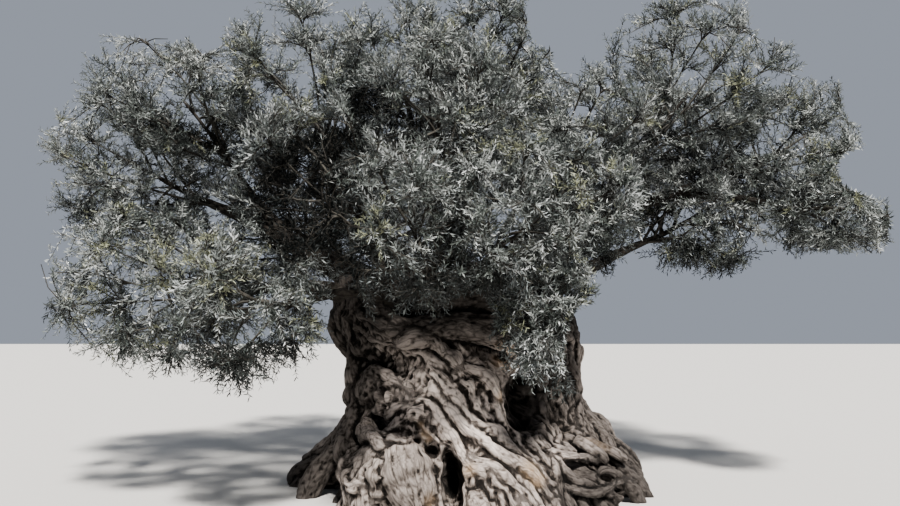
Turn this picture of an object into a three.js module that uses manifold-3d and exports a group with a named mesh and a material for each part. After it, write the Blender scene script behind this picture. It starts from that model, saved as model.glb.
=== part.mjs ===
// A very old olive tree: a hollowed, twisted trunk on a wide root flare, boughs that spread from
// its head, and a broad grey-green crown. Lengths are in millimetres, +Z is up, +Y is away from the
// side that shows best, and the origin is on the flat cut at ground level.
import * as THREE from "three";
import { mergeVertices } from "three/addons/utils/BufferGeometryUtils.js";
import Module from "manifold-3d";

const wasm = await Module();
wasm.setup();

// Driving dimensions.
const HEAD_HEIGHT = 2850; // from the ground to the top of the trunk, where the boughs leave it
const FLARE = 2050; // from the trunk's middle to the foot of an ordinary root
const BELOW = 400; // roots are made this far below the ground, and then cut off level with it
const GAP = 0.35; // between any two solids that meet

// A foliage blade stands for a whole spray of leafy shoots.
const BLADE = 600;
const BLADE_WIDTH = 280;
const BLADE_THICKNESS = 50;
const WIDEST = 0.4; // where on its length a blade is widest
const SHORTEST = 0.4; // a blade that only fits when it is shorter than this share is left out
const TWIG_RADIUS = 34;
const TWIG_ROOM = 60; // between a twig or blade and any limb that it passes
const DIRECTIONS = 13; // tried for a mass's twigs, spread evenly on all sides
const CORE_OUTSIDE = 0.75; // how far a dense mass's core goes out to the edge of the crown
const CORE_INSIDE = 0.96; // and towards the masses beside it
const BOUGH_END = 0.72; // a bough ends at this share of its mass's ellipsoid
const OUTSIDE = 0.94; // a space that goes on to this share of its ellipsoid is at the crown's edge
const BETWEEN = 0.03; // how much nearer, in shares of an ellipsoid, a point is to its own mass

const GOLDEN_TURN = Math.PI * (3 - Math.sqrt(5));
const GOLDEN_SHARE = 0.6180339887;

// The sides and rings that each kind of limb is drawn with.
const BODY_DETAIL = [12, 8];
const FLUTE_DETAIL = [5, 4];
const BOUGH_DETAIL = [6, 4];
const STEM_DETAIL = [5, 2];
const TWIG_DETAIL = [3, 1];

const BARK = new THREE.MeshStandardMaterial({ color: 0x857b70, roughness: 0.92, metalness: 0 });
const BOUGH_BARK = new THREE.MeshStandardMaterial({ color: 0x6a6056, roughness: 0.92, metalness: 0 });
const LEAF = new THREE.MeshStandardMaterial({ color: 0x727c66, roughness: 0.6, metalness: 0 });

// The trunk's plain body, from the ground up: height, half width, half depth, middle x and y.
const BODY = [
  [-BELOW, 1500, 1400, 0, 0],
  [0, 1430, 1350, 0, 0],
  [500, 1220, 1180, 0, 0],
  [1000, 1120, 1020, 0, 50],
  [1500, 1150, 900, -60, 100],
  [2000, 1270, 880, -160, 120],
  [2450, 1060, 800, -200, 140],
  [HEAD_HEIGHT, 620, 560, -200, 150],
];

// Flutes are the strands of wood that wind down the trunk and run out as roots. The robe's hang
// over the front like a draped cloth. Angles are in degrees from +X towards +Y, so -90 faces the
// front. lowest is the height that the outermost strand starts at, and rise is how much higher the
// middle one does. proud is how far they stand out of the body's skin.
const ROBE = {
  count: 7,
  top: { angle: -146, step: 11 },
  foot: { angle: -103, step: 12, reach: 1790 },
  lowest: 1250,
  rise: 620,
  girth: 245,
  proud: 120,
};
const BACK = {
  count: 7,
  top: { angle: 0, step: 28 },
  foot: { angle: 14, step: 28, reach: FLARE },
  lowest: 2050,
  rise: 260,
  girth: 300,
  proud: 0,
};

// Rounded lumps: middle, and half sizes.
const BURLS = {
  left_bulge: { at: [-1110, -150, 1230], size: [440, 580, 400] },
  right_burl: { at: [960, 20, 1950], size: [480, 560, 500] },
  left_head: { at: [-1210, 30, 2250], size: [600, 640, 520] },
  right_shoulder: { at: [380, -420, 2300], size: [620, 460, 400] },
  robe: { at: [-170, -640, 1180], size: [880, 560, 700] },
  front_lobe: { at: [-730, -1240, 280], size: [570, 500, 600] },
  low_lobe: { at: [-1290, -950, 150], size: [400, 420, 470] },
  small_mound: { at: [260, -1560, 60], size: [340, 300, 260] },
};

// Hollows that are cut out again: middle, and half sizes.
const HOLLOWS = {
  niche: { at: [-60, -1680, 330], size: [120, 460, 330] },
  cavity: { at: [700, -980, 1130], size: [190, 460, 420] },
  left_gap: { at: [-1600, -1080, 230], size: [150, 420, 300] },
};

// Stems, arms and roots that stand clear of the body for part of their way: their radii at both
// ends, how many rings they are drawn with, and the places that they pass.
const STEMS = {
  right_stem: {
    girth: [430, 500],
    rings: 5,
    path: [[860, 60, 2150], [1060, -80, 1500], [1080, -120, 900], [1350, -60, 300], [1600, 0, -BELOW]],
  },
  low_arm: {
    girth: [220, 170],
    rings: 5,
    path: [[-1300, -380, 2250], [-880, -800, 1930], [-150, -930, 2020], [520, -900, 1880], [980, -640, 1560]],
  },
  high_arm: {
    girth: [200, 230],
    rings: 4,
    path: [[-1050, -380, 2520], [-350, -700, 2380], [450, -720, 2330], [1000, -300, 2150]],
  },
  left_leg: {
    girth: [170, 120],
    rings: 4,
    path: [[-1120, -430, 950], [-1480, -700, 600], [-1740, -880, 150], [-1900, -980, -BELOW]],
  },
  left_stub: {
    girth: [420, 330],
    rings: 3,
    path: [[-1000, 0, 1700], [-1380, -60, 2200], [-1470, 20, 2700]],
  },
  near_root: {
    girth: [240, 120],
    rings: 4,
    path: [[1150, -430, 650], [1520, -600, 330], [1950, -560, 60], [2250, -520, -BELOW]],
  },
  far_root: {
    girth: [280, 110],
    rings: 4,
    path: [[1200, 150, 800], [1650, 160, 480], [2030, 60, 260], [2200, 0, 100]],
  },
  dead_stub: {
    girth: [170, 60],
    rings: 3,
    path: [[1250, -250, 720], [1600, -330, 650], [1880, -260, 500]],
  },
};

// A place in the trunk's head, at a bearing and a distance from its middle.
function head(degrees, reach, height) {
  const angle = THREE.MathUtils.degToRad(degrees);
  return [-180 + reach * Math.cos(angle), 130 + reach * 0.8 * Math.sin(angle), height];
}

// A place on another bough, as a share of its length.
const on = (bough, along) => ({ bough, along });

// A mass of foliage and the bough that carries it: the mass's middle and half sizes, where the bough
// leaves the head or another bough, its radii at root and tip, and how high it arches as a share of
// its length. A thin mass has no core.
const mass = (at, size, root, girth, arch, thin = false) => ({ at, size, root, girth, arch, thin });

const CROWN = {
  far_left: mass([-4600, 300, 4230], [1340, 1250, 1150], head(184, 1000, 2450), [235, 75], 0.04),
  upper_left: mass([-3900, 0, 5080], [1350, 1300, 1260], on("far_left", 0.5), [120, 55], -0.1),
  left_low: mass([-3900, -700, 2540], [1450, 1200, 1080], head(196, 1150, 2250), [165, 65], 0.22),
  left_front: mass([-2420, -1750, 2300], [900, 900, 960], head(228, 1050, 2250), [120, 50], 0.24),
  top_left: mass([-2300, 0, 5150], [1450, 1350, 1380], head(176, 620, 2620), [220, 80], -0.05),
  inner_left: mass([-2800, 800, 3600], [1400, 1350, 1200], head(150, 900, 2420), [170, 70], 0.08),
  top: mass([-950, 420, 5480], [1250, 1250, 1320], head(110, 250, 2700), [240, 85], -0.04),
  top_centre: mass([230, -250, 5460], [1180, 1150, 1270], on("top", 0.38), [130, 60], -0.12),
  front: mass([-700, -2130, 3120], [1030, 980, 1020], head(255, 800, 2500), [150, 60], 0.16),
  front_right: mass([330, -1850, 3130], [980, 950, 1020], head(288, 820, 2480), [145, 60], 0.16),
  hanging: mass([730, -1750, 2200], [600, 560, 1010], head(320, 980, 2380), [110, 48], 0.3),
  front_left: mass([-1720, -1350, 3720], [1100, 1100, 1100], head(236, 760, 2520), [140, 60], 0.1),
  front_top: mass([-400, -1450, 4430], [1150, 1000, 1080], head(262, 420, 2650), [150, 65], -0.04),
  front_side: mass([1280, -1150, 3450], [720, 880, 880], head(318, 760, 2480), [110, 52], 0.06),
  mid_right: mass([1400, -450, 4350], [1180, 1180, 1080], head(332, 560, 2620), [190, 80], -0.04),
  upper_right: mass([3030, 0, 5230], [1480, 1300, 1370], head(8, 880, 2430), [220, 75], -0.04),
  right: mass([4350, 200, 4400], [1230, 1150, 1150], on("upper_right", 0.45), [130, 58], 0.06),
  right_low: mass([4600, -600, 3500], [880, 850, 700], on("right", 0.55), [75, 38], 0.12),
  right_under: mass([3200, 200, 3600], [1080, 1000, 880], head(18, 1050, 2250), [150, 60], 0.1, true),
  back_left: mass([-2700, 2700, 4400], [1550, 1400, 1250], head(128, 900, 2350), [220, 80], 0.06),
  back: mass([-350, 3250, 4500], [1500, 1350, 1250], head(95, 900, 2350), [220, 80], 0.06),
  back_top: mass([200, 1650, 5400], [1350, 1250, 1120], on("back", 0.35), [150, 62], -0.1),
  back_right: mass([1850, 2600, 4500], [1400, 1350, 1200], head(58, 900, 2300), [200, 75], 0.06),
  right_back: mass([3400, 1850, 4950], [1200, 1150, 1050], on("back_right", 0.5), [110, 52], 0.04),
};

// The blades of a spray: how far each turns from the twig, in radians, where on the twig it roots,
// and its length as a share of a whole blade's.
const FAN = [
  { turn: 0.2, from: 0.95, size: 1 },
  { turn: -0.7, from: 0.8, size: 0.95 },
];

const vector = (p) => new THREE.Vector3(...p);
const share = (k, seed) => (((seed + k * GOLDEN_SHARE) % 1) + 1) % 1;
const mix = THREE.MathUtils.lerp;

// A closed geometry as a solid, whose shared corners are merged.
function solidOf(geometry) {
  const plain = new THREE.BufferGeometry();
  plain.setAttribute("position", geometry.getAttribute("position"));
  if (geometry.index) plain.setIndex(geometry.index);
  const merged = mergeVertices(plain, 1e-3);
  return new wasm.Manifold(
    new wasm.Mesh({
      numProp: 3,
      vertProperties: merged.attributes.position.array,
      triVerts: new Uint32Array(merged.index.array),
    }),
  );
}

// A solid's faces as a geometry again.
function geometryOf(solid) {
  const mesh = solid.getMesh();
  const places = new Float32Array(mesh.numVert * 3);
  for (let i = 0; i < mesh.numVert; i++) {
    places.set(mesh.vertProperties.subarray(i * mesh.numProp, i * mesh.numProp + 3), i * 3);
  }
  const geometry = new THREE.BufferGeometry();
  geometry.setAttribute("position", new THREE.BufferAttribute(places, 3));
  geometry.setIndex(new THREE.BufferAttribute(mesh.triVerts, 1));
  geometry.computeVertexNormals();
  return geometry;
}

const joined = (solids) => solids.reduce((all, next) => all.add(next));

function largest(solid) {
  const bodies = solid.decompose();
  return bodies.reduce((best, next) => (next.volume() > best.volume() ? next : best));
}

// The frame that a limb's ring is drawn in at one place on its curve.
function ringFrame(curve, t) {
  const along = curve.getTangent(t);
  const reference = Math.abs(along.y) < 0.9 ? vector([0, 1, 0]) : vector([1, 0, 0]);
  const side = reference.addScaledVector(along, -reference.dot(along)).normalize();
  const across = new THREE.Vector3().crossVectors(side, along);
  return { middle: curve.getPoint(t), along, side, across };
}

// A closed limb along a curve: a cylinder whose rings are moved onto the curve. radiusAt gives its
// radius at each share of its length and angle round it. grow makes it thicker and longer.
function limb(curve, [sides, rings], radiusAt, grow = 0) {
  const geometry = new THREE.CylinderGeometry(1, 1, 1, sides, rings);
  const places = geometry.getAttribute("position");
  for (let i = 0; i < places.count; i++) {
    const t = places.getY(i) + 0.5;
    const { middle, side, across, along } = ringFrame(curve, t);
    const out = Math.hypot(places.getX(i), places.getZ(i));
    const angle = Math.atan2(places.getZ(i), places.getX(i));
    const radius = out * (radiusAt(t, angle) + grow);
    if (t === 0 || t === 1) middle.addScaledVector(along, (2 * t - 1) * grow);
    middle.addScaledVector(side, radius * Math.cos(angle));
    middle.addScaledVector(across, radius * Math.sin(angle));
    places.setXYZ(i, middle.x, middle.y, middle.z);
  }
  return solidOf(geometry);
}

// A lump or hollow: a ball stretched to its half sizes, with low waves over it.
function lump({ at, size }, grow) {
  const geometry = new THREE.IcosahedronGeometry(1, 1);
  const places = geometry.getAttribute("position");
  for (let i = 0; i < places.count; i++) {
    const [x, y, z] = [places.getX(i), places.getY(i), places.getZ(i)];
    const wave = 1 + 0.06 * Math.sin(4 * x + 3 * z) + 0.05 * Math.cos(5 * y - 2 * z);
    places.setXYZ(
      i,
      at[0] + x * (size[0] * wave + grow),
      at[1] + y * (size[1] * wave + grow),
      at[2] + z * (size[2] * wave + grow),
    );
  }
  return solidOf(geometry);
}

// The trunk's plain body at a height: half width, half depth and middle.
function bodyAt(height) {
  const above = BODY.findIndex(([level]) => level >= Math.min(height, HEAD_HEIGHT));
  const [low, high] = [BODY[Math.max(0, above - 1)], BODY[Math.max(1, above)]];
  const t = THREE.MathUtils.clamp((height - low[0]) / (high[0] - low[0]), 0, 1);
  const [, width, depth, x, y] = low.map((value, k) => mix(value, high[k], t));
  return { width, depth, x, y };
}

// The trunk's plain body: a cylinder whose rings take the width, depth and middle of their height.
function trunkBody(grow) {
  const geometry = new THREE.CylinderGeometry(1, 1, 1, ...BODY_DETAIL);
  const places = geometry.getAttribute("position");
  for (let i = 0; i < places.count; i++) {
    const height = mix(-BELOW, HEAD_HEIGHT + grow, places.getY(i) + 0.5);
    const { width, depth, x, y } = bodyAt(height);
    const angle = Math.atan2(places.getX(i), places.getZ(i));
    const wave = 1 + 0.05 * Math.sin(3 * angle + height / 500);
    const across = places.getZ(i) * (width * wave + grow);
    const deep = places.getX(i) * (depth * wave + grow);
    places.setXYZ(i, x + across, y + deep, height);
  }
  return solidOf(geometry);
}

// One flute: it starts near the body's skin at its top, winds down to its foot's angle, and sweeps
// out as a root over its lower half.
function flute({ topAngle, topHeight, footAngle, foot, girth, proud }, grow) {
  const steps = 6;
  const points = Array.from({ length: steps + 1 }, (_, k) => {
    const t = k / steps;
    const height = mix(topHeight, -BELOW, t);
    const angle = THREE.MathUtils.degToRad(mix(topAngle, footAngle, Math.pow(t, 0.75)));
    const { width, depth, x, y } = bodyAt(Math.max(height, 0));
    const skin = 1 / Math.hypot(Math.cos(angle) / width, Math.sin(angle) / depth);
    const sunk = skin - girth * 0.35 + proud;
    const out = mix(sunk, foot, THREE.MathUtils.smoothstep(t, 0.45, 1));
    return vector([x + out * Math.cos(angle), y + out * Math.sin(angle), height]);
  });
  const lobes = (t, angle) => 1 + 0.12 * Math.sin(2 * angle + 7 * t) + 0.1 * Math.sin(9 * t + foot);
  const swell = (t) => 0.72 + 0.5 * Math.sin(Math.PI * Math.min(1, 1.15 - 1.15 * t));
  const curve = new THREE.CatmullRomCurve3(points);
  return limb(curve, FLUTE_DETAIL, (t, angle) => girth * swell(t) * lobes(t, angle), grow);
}

// One row of flutes. Their heights, feet and thicknesses wander, each at a beat of its own.
function fluteRow({ count, top, foot, lowest, rise, girth, proud }) {
  return Array.from({ length: count }, (_, k) => ({
    topAngle: top.angle + k * top.step,
    topHeight: lowest + rise * Math.sin((Math.PI * (k + 0.6)) / (count + 1)),
    footAngle: foot.angle + k * foot.step,
    foot: foot.reach * (1 + 0.085 * Math.sin(2.3 * k + 0.6)),
    girth: girth * (1 + 0.19 * Math.sin(1.8 * k + 1)),
    proud,
  }));
}

// A stem, arm or root that stands clear of the body for part of its way.
function stem({ path, girth, rings }, grow) {
  const curve = new THREE.CatmullRomCurve3(path.map(vector));
  const wave = (t, angle) => 1 + 0.1 * Math.sin(2 * angle + 6 * t) + 0.06 * Math.sin(11 * t);
  return limb(curve, [6, rings], (t, angle) => mix(...girth, t) * wave(t, angle), grow);
}

// The whole trunk, cut flat at the ground. grow makes every piece that much thicker.
function trunkSolid(grow) {
  const pieces = [
    trunkBody(grow),
    ...[...fluteRow(ROBE), ...fluteRow(BACK)].map((one) => flute(one, grow)),
    ...Object.values(BURLS).map((one) => lump(one, grow)),
    ...Object.values(STEMS).map((one) => stem(one, grow)),
  ];
  const hollows = Object.values(HOLLOWS).map((one) => lump(one, -grow));
  const underground = new THREE.BoxGeometry(4 * FLARE, 4 * FLARE, 2 * FLARE);
  underground.translate(0, 0, -FLARE);
  return largest(joined(pieces).subtract(joined(hollows)).subtract(solidOf(underground)));
}

// How far a point is from the middle of a mass, where 1 is the edge of its ellipsoid.
const spread = ({ at, size }, p) =>
  Math.hypot((p.x - at[0]) / size[0], (p.y - at[1]) / size[1], (p.z - at[2]) / size[2]);

// A bough's curve: from its root to where it comes into its mass, with a knee that gives its arch.
function boughCurve({ at, root, arch, ...space }) {
  const start = root.bough ? boughs[root.bough].curve.getPoint(root.along) : vector(root);
  const tip = vector(at).lerp(start, BOUGH_END / spread({ at, ...space }, start));
  const knee = start.clone().lerp(tip, 0.45);
  knee.z += arch * start.distanceTo(tip);
  return new THREE.QuadraticBezierCurve3(start, knee, tip);
}

const boughs = {};
for (const [name, one] of Object.entries(CROWN)) {
  const curve = boughCurve(one);
  const radius = (t) => mix(...one.girth, Math.pow(t, 0.8));
  const knots = (t, angle) => 1 + 0.07 * Math.sin(3 * angle + 9 * t) * (1 - t);
  const solid = (grow) => limb(curve, BOUGH_DETAIL, (t, angle) => radius(t) * knots(t, angle), grow);
  boughs[name] = { curve, radius, solid };
}

// Whether some places on a straight line from base are all clear of the trunk and every bough.
function clearOfLimbs(base, way, length) {
  return [0.3, 0.65, 1].every((part) => {
    const p = base.clone().addScaledVector(way, length * part);
    const inTrunk = p.z < HEAD_HEIGHT && Math.hypot(p.x / 1850, (p.y - 50) / 1350) < 1;
    const samples = Array.from({ length: 13 }, (_, k) => k / 12);
    const nearBough = Object.values(boughs).some(({ curve, radius }) =>
      samples.some((t) => curve.getPoint(t).distanceTo(p) < radius(t) + TWIG_ROOM),
    );
    return !inTrunk && !nearBough;
  });
}

// Whether a point belongs to a mass: inside its ellipsoid, and nearer to it than to any other.
function inSpace(name, p) {
  const own = spread(CROWN[name], p);
  const others = Object.keys(CROWN).filter((other) => other !== name);
  return own <= 1 && others.every((other) => own + BETWEEN < spread(CROWN[other], p));
}

// How far a mass's space goes from its middle in one direction.
function reach(name, direction) {
  const middle = vector(CROWN[name].at);
  const step = 25;
  let out = step;
  while (inSpace(name, middle.clone().addScaledVector(direction, out + step))) out += step;
  return out;
}

// Directions spread evenly over a ball by the golden angle, turned by the mass's own seed.
function evenDirections(count, seed) {
  return Array.from({ length: count }, (_, k) => {
    const up = 1 - (2 * k + 1) / count;
    const level = Math.sqrt(1 - up * up);
    const angle = k * GOLDEN_TURN + seed * 2 * Math.PI;
    return vector([level * Math.cos(angle), level * Math.sin(angle), up]);
  });
}

// A blade of foliage with eight faces, flat and pointed at both ends.
function bladeGeometry(base, way, length, roll) {
  const geometry = new THREE.OctahedronGeometry(1, 0);
  const places = geometry.getAttribute("position");
  const reference = Math.abs(way.z) < 0.9 ? vector([0, 0, 1]) : vector([1, 0, 0]);
  const side = new THREE.Vector3().crossVectors(way, reference).normalize();
  side.applyAxisAngle(way, roll);
  const face = new THREE.Vector3().crossVectors(way, side);
  const scale = length / BLADE;
  for (let i = 0; i < places.count; i++) {
    const end = Math.round(places.getX(i));
    const out = { [-1]: 0, 0: WIDEST, 1: 1 }[end];
    const place = base.clone().addScaledVector(way, out * length);
    place.addScaledVector(side, (places.getY(i) * scale * BLADE_WIDTH) / 2);
    place.addScaledVector(face, (places.getZ(i) * scale * BLADE_THICKNESS) / 2);
    places.setXYZ(i, place.x, place.y, place.z);
  }
  return geometry;
}

// The corners of a geometry's faces.
function corners(geometry) {
  const places = geometry.getAttribute("position");
  const corner = (_, i) => new THREE.Vector3().fromBufferAttribute(places, i);
  return Array.from({ length: places.count }, corner);
}

// Whether a mass's space ends at the outside of the crown in one direction, and not at a neighbour.
function isOutside(name, direction, room) {
  const edge = vector(CROWN[name].at).addScaledVector(direction, room);
  return spread(CROWN[name], edge) > OUTSIDE;
}

// A dense mass's core: an uneven ball inside the mass's space.
function core(name, seed) {
  const geometry = new THREE.IcosahedronGeometry(1, 1);
  const places = geometry.getAttribute("position");
  const waves = vector([13, 11, 12]);
  for (let i = 0; i < places.count; i++) {
    const direction = new THREE.Vector3().fromBufferAttribute(places, i).normalize();
    const room = reach(name, direction);
    const uneven = 1 + 0.12 * Math.sin(waves.dot(direction) + 20 * seed);
    const out = isOutside(name, direction, room) ? CORE_OUTSIDE * uneven : CORE_INSIDE;
    const place = vector(CROWN[name].at).addScaledVector(direction, room * out);
    places.setXYZ(i, place.x, place.y, place.z);
  }
  return solidOf(geometry);
}

// The longest blade that keeps to its mass's space and clear of the limbs, or none.
function fittedBlade(name, base, way, longest, roll) {
  for (let length = longest; length > BLADE * SHORTEST; length *= 0.92) {
    const geometry = bladeGeometry(base, way, length, roll);
    const fits = corners(geometry).every((p) => inSpace(name, p));
    if (fits && clearOfLimbs(base, way, length)) return [solidOf(geometry)];
  }
  return [];
}

// A three-sided twig that tapers to its end, with its spray of blades. A twig that would touch a
// limb is left out.
function sprig(name, start, direction, end, seed) {
  const curve = new THREE.LineCurve3(start, end);
  const way = end.clone().sub(start);
  const length = way.length();
  if (!clearOfLimbs(start, way.normalize(), length)) return [];
  const turned = new THREE.Vector3().crossVectors(direction, vector([0.3, 0.5, 0.8])).normalize();
  turned.applyAxisAngle(direction, seed * Math.PI);
  const blades = FAN.flatMap(({ turn, from, size }, j) => {
    const bladeWay = direction.clone().applyAxisAngle(turned, turn);
    return fittedBlade(name, curve.getPoint(from), bladeWay, BLADE * size, share(j, seed) * Math.PI);
  });
  return [limb(curve, TWIG_DETAIL, (t) => TWIG_RADIUS * mix(1.3, 0.6, t)), ...blades];
}

// A mass of foliage: a stem that goes on from the bough's tip to the middle, and sprigs from it
// wherever the mass is at the outside of the crown.
function massSolid(name, order) {
  const { at, thin } = CROWN[name];
  const { curve, radius } = boughs[name];
  const seed = share(order, 0.31);
  const start = curve.getPoint(1);
  const middle = vector(at);
  const knee = start.clone().addScaledVector(curve.getTangent(1), 150);
  const path = new THREE.QuadraticBezierCurve3(start, knee, middle);
  const pieces = [limb(path, STEM_DETAIL, (t) => mix(radius(1), TWIG_RADIUS * 1.4, t))];
  if (!thin) pieces.push(core(name, seed));
  evenDirections(DIRECTIONS, seed).forEach((direction, k) => {
    const room = reach(name, direction);
    if (!isOutside(name, direction, room)) return;
    const from = thin ? path.getPoint(0.35 + 0.6 * share(k, seed)) : middle;
    const out = Math.max(room - BLADE * 0.75, room * 0.45);
    const end = middle.clone().addScaledVector(direction, out);
    pieces.push(...sprig(name, from, direction, end, share(k, seed)));
  });
  return joined(pieces);
}

// Takes away whatever reaches into the solids listed, and keeps the largest body that is left.
function clearOf(solid, solids) {
  const met = solids.filter((other) => solid.intersect(other).volume() > 0);
  return met.length ? largest(solid.subtract(joined(met))) : solid;
}

const tree = new THREE.Group();

function place(name, solid, material) {
  const mesh = new THREE.Mesh(geometryOf(solid), material);
  mesh.name = name;
  tree.add(mesh);
}

// The trunk comes first. Each bough is cut clear of it and of the boughs before, and each mass is
// cut clear of all limbs.
place("trunk", trunkSolid(0), BARK);
const limbs = [trunkSolid(GAP)];
for (const [name, { solid }] of Object.entries(boughs)) {
  place(`bough_${name}`, clearOf(solid(0), limbs), BOUGH_BARK);
  limbs.push(solid(GAP));
}
Object.keys(CROWN).forEach((name, order) => {
  place(`foliage_${name}`, clearOf(massSolid(name, order), limbs), LEAF);
});

export default tree;
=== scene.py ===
"""A very old olive tree: a hollowed, twisted trunk on a wide root flare, boughs that spread from
its head, and a broad grey-green crown. Everything is in metres, +Z is up, +Y is away from the side
that shows best, and the origin is on the flat cut at ground level."""

import math

import bmesh
import bpy
import numpy as np
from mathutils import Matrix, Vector, noise
from mathutils.bvhtree import BVHTree


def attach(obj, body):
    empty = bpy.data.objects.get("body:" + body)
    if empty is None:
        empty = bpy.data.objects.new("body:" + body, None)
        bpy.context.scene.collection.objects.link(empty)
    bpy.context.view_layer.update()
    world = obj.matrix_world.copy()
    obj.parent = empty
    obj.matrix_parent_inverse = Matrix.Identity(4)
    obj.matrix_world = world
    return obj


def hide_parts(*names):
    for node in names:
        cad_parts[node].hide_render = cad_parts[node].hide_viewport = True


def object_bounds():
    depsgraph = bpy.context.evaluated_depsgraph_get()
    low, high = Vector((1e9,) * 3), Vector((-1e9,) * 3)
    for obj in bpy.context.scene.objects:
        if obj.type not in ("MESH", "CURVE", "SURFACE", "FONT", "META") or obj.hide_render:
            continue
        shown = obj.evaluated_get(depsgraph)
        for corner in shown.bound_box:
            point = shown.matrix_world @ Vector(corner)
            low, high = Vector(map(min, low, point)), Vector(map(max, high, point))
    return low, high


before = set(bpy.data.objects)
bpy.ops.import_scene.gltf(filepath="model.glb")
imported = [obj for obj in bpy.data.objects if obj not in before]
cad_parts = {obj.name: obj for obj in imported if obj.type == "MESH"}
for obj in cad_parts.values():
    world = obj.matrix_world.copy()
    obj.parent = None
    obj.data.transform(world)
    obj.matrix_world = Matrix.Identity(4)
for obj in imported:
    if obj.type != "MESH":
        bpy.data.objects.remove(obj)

cad_low, cad_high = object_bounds()


# The studio: a pale matt floor, a large soft lamp high in front and a paler sky all round.
# The camera stands in front at a person's height and a little more, and looks up at the crown.
FLOOR_SIDE = 160
FLOOR_COLOUR = (0.52, 0.51, 0.49, 1)
FLOOR_ROUGHNESS = 0.9
SKY_COLOUR = (0.80, 0.87, 1.0, 1)
SKY_STRENGTH = 0.36
LAMP_STRENGTH = 8.4
LAMP_SPREAD = math.radians(7)
LAMP_COLOUR = (1.0, 0.965, 0.92)
LAMP_TURN = (math.radians(36), 0, math.radians(14))
PICTURE_WIDTH = 900
PICTURE_HEIGHT = 506
FOCAL_LENGTH = 693
SENSOR = 36
CAMERA_PLACE = (-0.27, -9.2, 2.0)
CAMERA_PITCH = math.radians(96.2)


def in_scene(name, data):
    """A new object of a mesh, a lamp or a camera, at the origin."""
    thing = bpy.data.objects.new(name, data)
    bpy.context.scene.collection.objects.link(thing)
    return thing


def piece_from(name, shape):
    """A new piece from a bmesh."""
    mesh = bpy.data.meshes.new(name)
    shape.to_mesh(mesh)
    shape.free()
    return in_scene(name, mesh)


def new_material(name):
    """A plain material, with its nodes and its surface."""
    material = bpy.data.materials.new(name)
    material.use_nodes = True
    return material, material.node_tree, material.node_tree.nodes["Principled BSDF"]


floor_shape = bmesh.new()
bmesh.ops.create_grid(floor_shape, x_segments=1, y_segments=1, size=FLOOR_SIDE / 2)
floor = piece_from("floor", floor_shape)
floor_paint, _, floor_surface = new_material("floor_paint")
floor_surface.inputs["Base Color"].default_value = FLOOR_COLOUR
floor_surface.inputs["Roughness"].default_value = FLOOR_ROUGHNESS
floor.data.materials.append(floor_paint)

sky = bpy.data.worlds.new("sky")
sky.use_nodes = True
sky.node_tree.nodes["Background"].inputs["Color"].default_value = SKY_COLOUR
sky.node_tree.nodes["Background"].inputs["Strength"].default_value = SKY_STRENGTH
bpy.context.scene.world = sky
bpy.context.scene.view_settings.look = "AgX - Medium High Contrast"

lamp = bpy.data.lights.new("lamp", "SUN")
lamp.energy = LAMP_STRENGTH
lamp.angle = LAMP_SPREAD
lamp.color = LAMP_COLOUR
in_scene("lamp", lamp).rotation_euler = LAMP_TURN

camera = bpy.data.cameras.new("camera")
camera.sensor_width = SENSOR
camera.lens = SENSOR * FOCAL_LENGTH / PICTURE_WIDTH
camera_object = in_scene("camera", camera)
camera_object.location = CAMERA_PLACE
camera_object.rotation_euler = (CAMERA_PITCH, 0, 0)
bpy.context.scene.camera = camera_object


# The trunk: living strands of wood that have grown over and round a hollow old heart. They wind
# down from the head and run out as roots, with burls between them and bark that has cracked along
# the grain. It is one skin, closed below by the flat cut at the ground.
HEAD_HEIGHT = 2.85
FLARE = 2.05
BELOW = 0.4
HEART_MESH = 0.035
HEART_EVENING = 4
BARK_MESH = 0.0205
TRUNK_TRIANGLES = 250_000
STRAND_RINGS = 44
STRAND_SIDES = 22

# Height, half width, half depth, middle x and y, from the ground up.
BODY = np.array([
    (-BELOW, 1.5, 1.4, 0, 0),
    (0, 1.43, 1.35, 0, 0),
    (0.5, 1.22, 1.18, 0, 0),
    (1.0, 1.12, 1.02, 0, 0.05),
    (1.5, 1.15, 0.9, -0.06, 0.1),
    (2.0, 1.27, 0.88, -0.16, 0.12),
    (2.45, 1.06, 0.8, -0.2, 0.14),
    (HEAD_HEIGHT, 0.62, 0.56, -0.2, 0.15),
])

# Rows of strands: how many, angles in degrees from +X towards +Y of the first and from one to the
# next at the top and at the foot, how far out they reach, their tops, girth and how proud they are.
ROBE = dict(
    count=7, top=(-146, 11), foot=(-103, 12), reach=1.79,
    lowest=1.25, rise=0.62, girth=0.245, proud=0.12,
)
BACK = dict(
    count=7, top=(0, 28), foot=(14, 28), reach=FLARE,
    lowest=2.05, rise=0.26, girth=0.3, proud=0,
)

# Burls and hollows: middle, and half sizes.
BURLS = {
    "left_bulge": ((-1.11, -0.15, 1.23), (0.44, 0.58, 0.4)),
    "right_burl": ((0.96, 0.02, 1.95), (0.48, 0.56, 0.5)),
    "left_head": ((-1.21, 0.03, 2.25), (0.6, 0.64, 0.52)),
    "left_chin": ((-1.31, -0.08, 1.8), (0.33, 0.42, 0.24)),
    "right_shoulder": ((0.38, -0.42, 2.3), (0.62, 0.46, 0.4)),
    "robe": ((-0.17, -0.64, 1.18), (0.88, 0.56, 0.7)),
    "front_lobe": ((-0.86, -1.24, 0.28), (0.56, 0.5, 0.6)),
    "low_lobe": ((-1.29, -0.95, 0.15), (0.4, 0.42, 0.47)),
    "small_mound": ((0.02, -1.6, 0.06), (0.3, 0.3, 0.27)),
    "arched_mound": ((-0.07, -1.48, 0.4), (0.13, 0.2, 0.18)),
    "oval_lump": ((-0.6, -1.17, 1.0), (0.2, 0.16, 0.12)),
}
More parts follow.
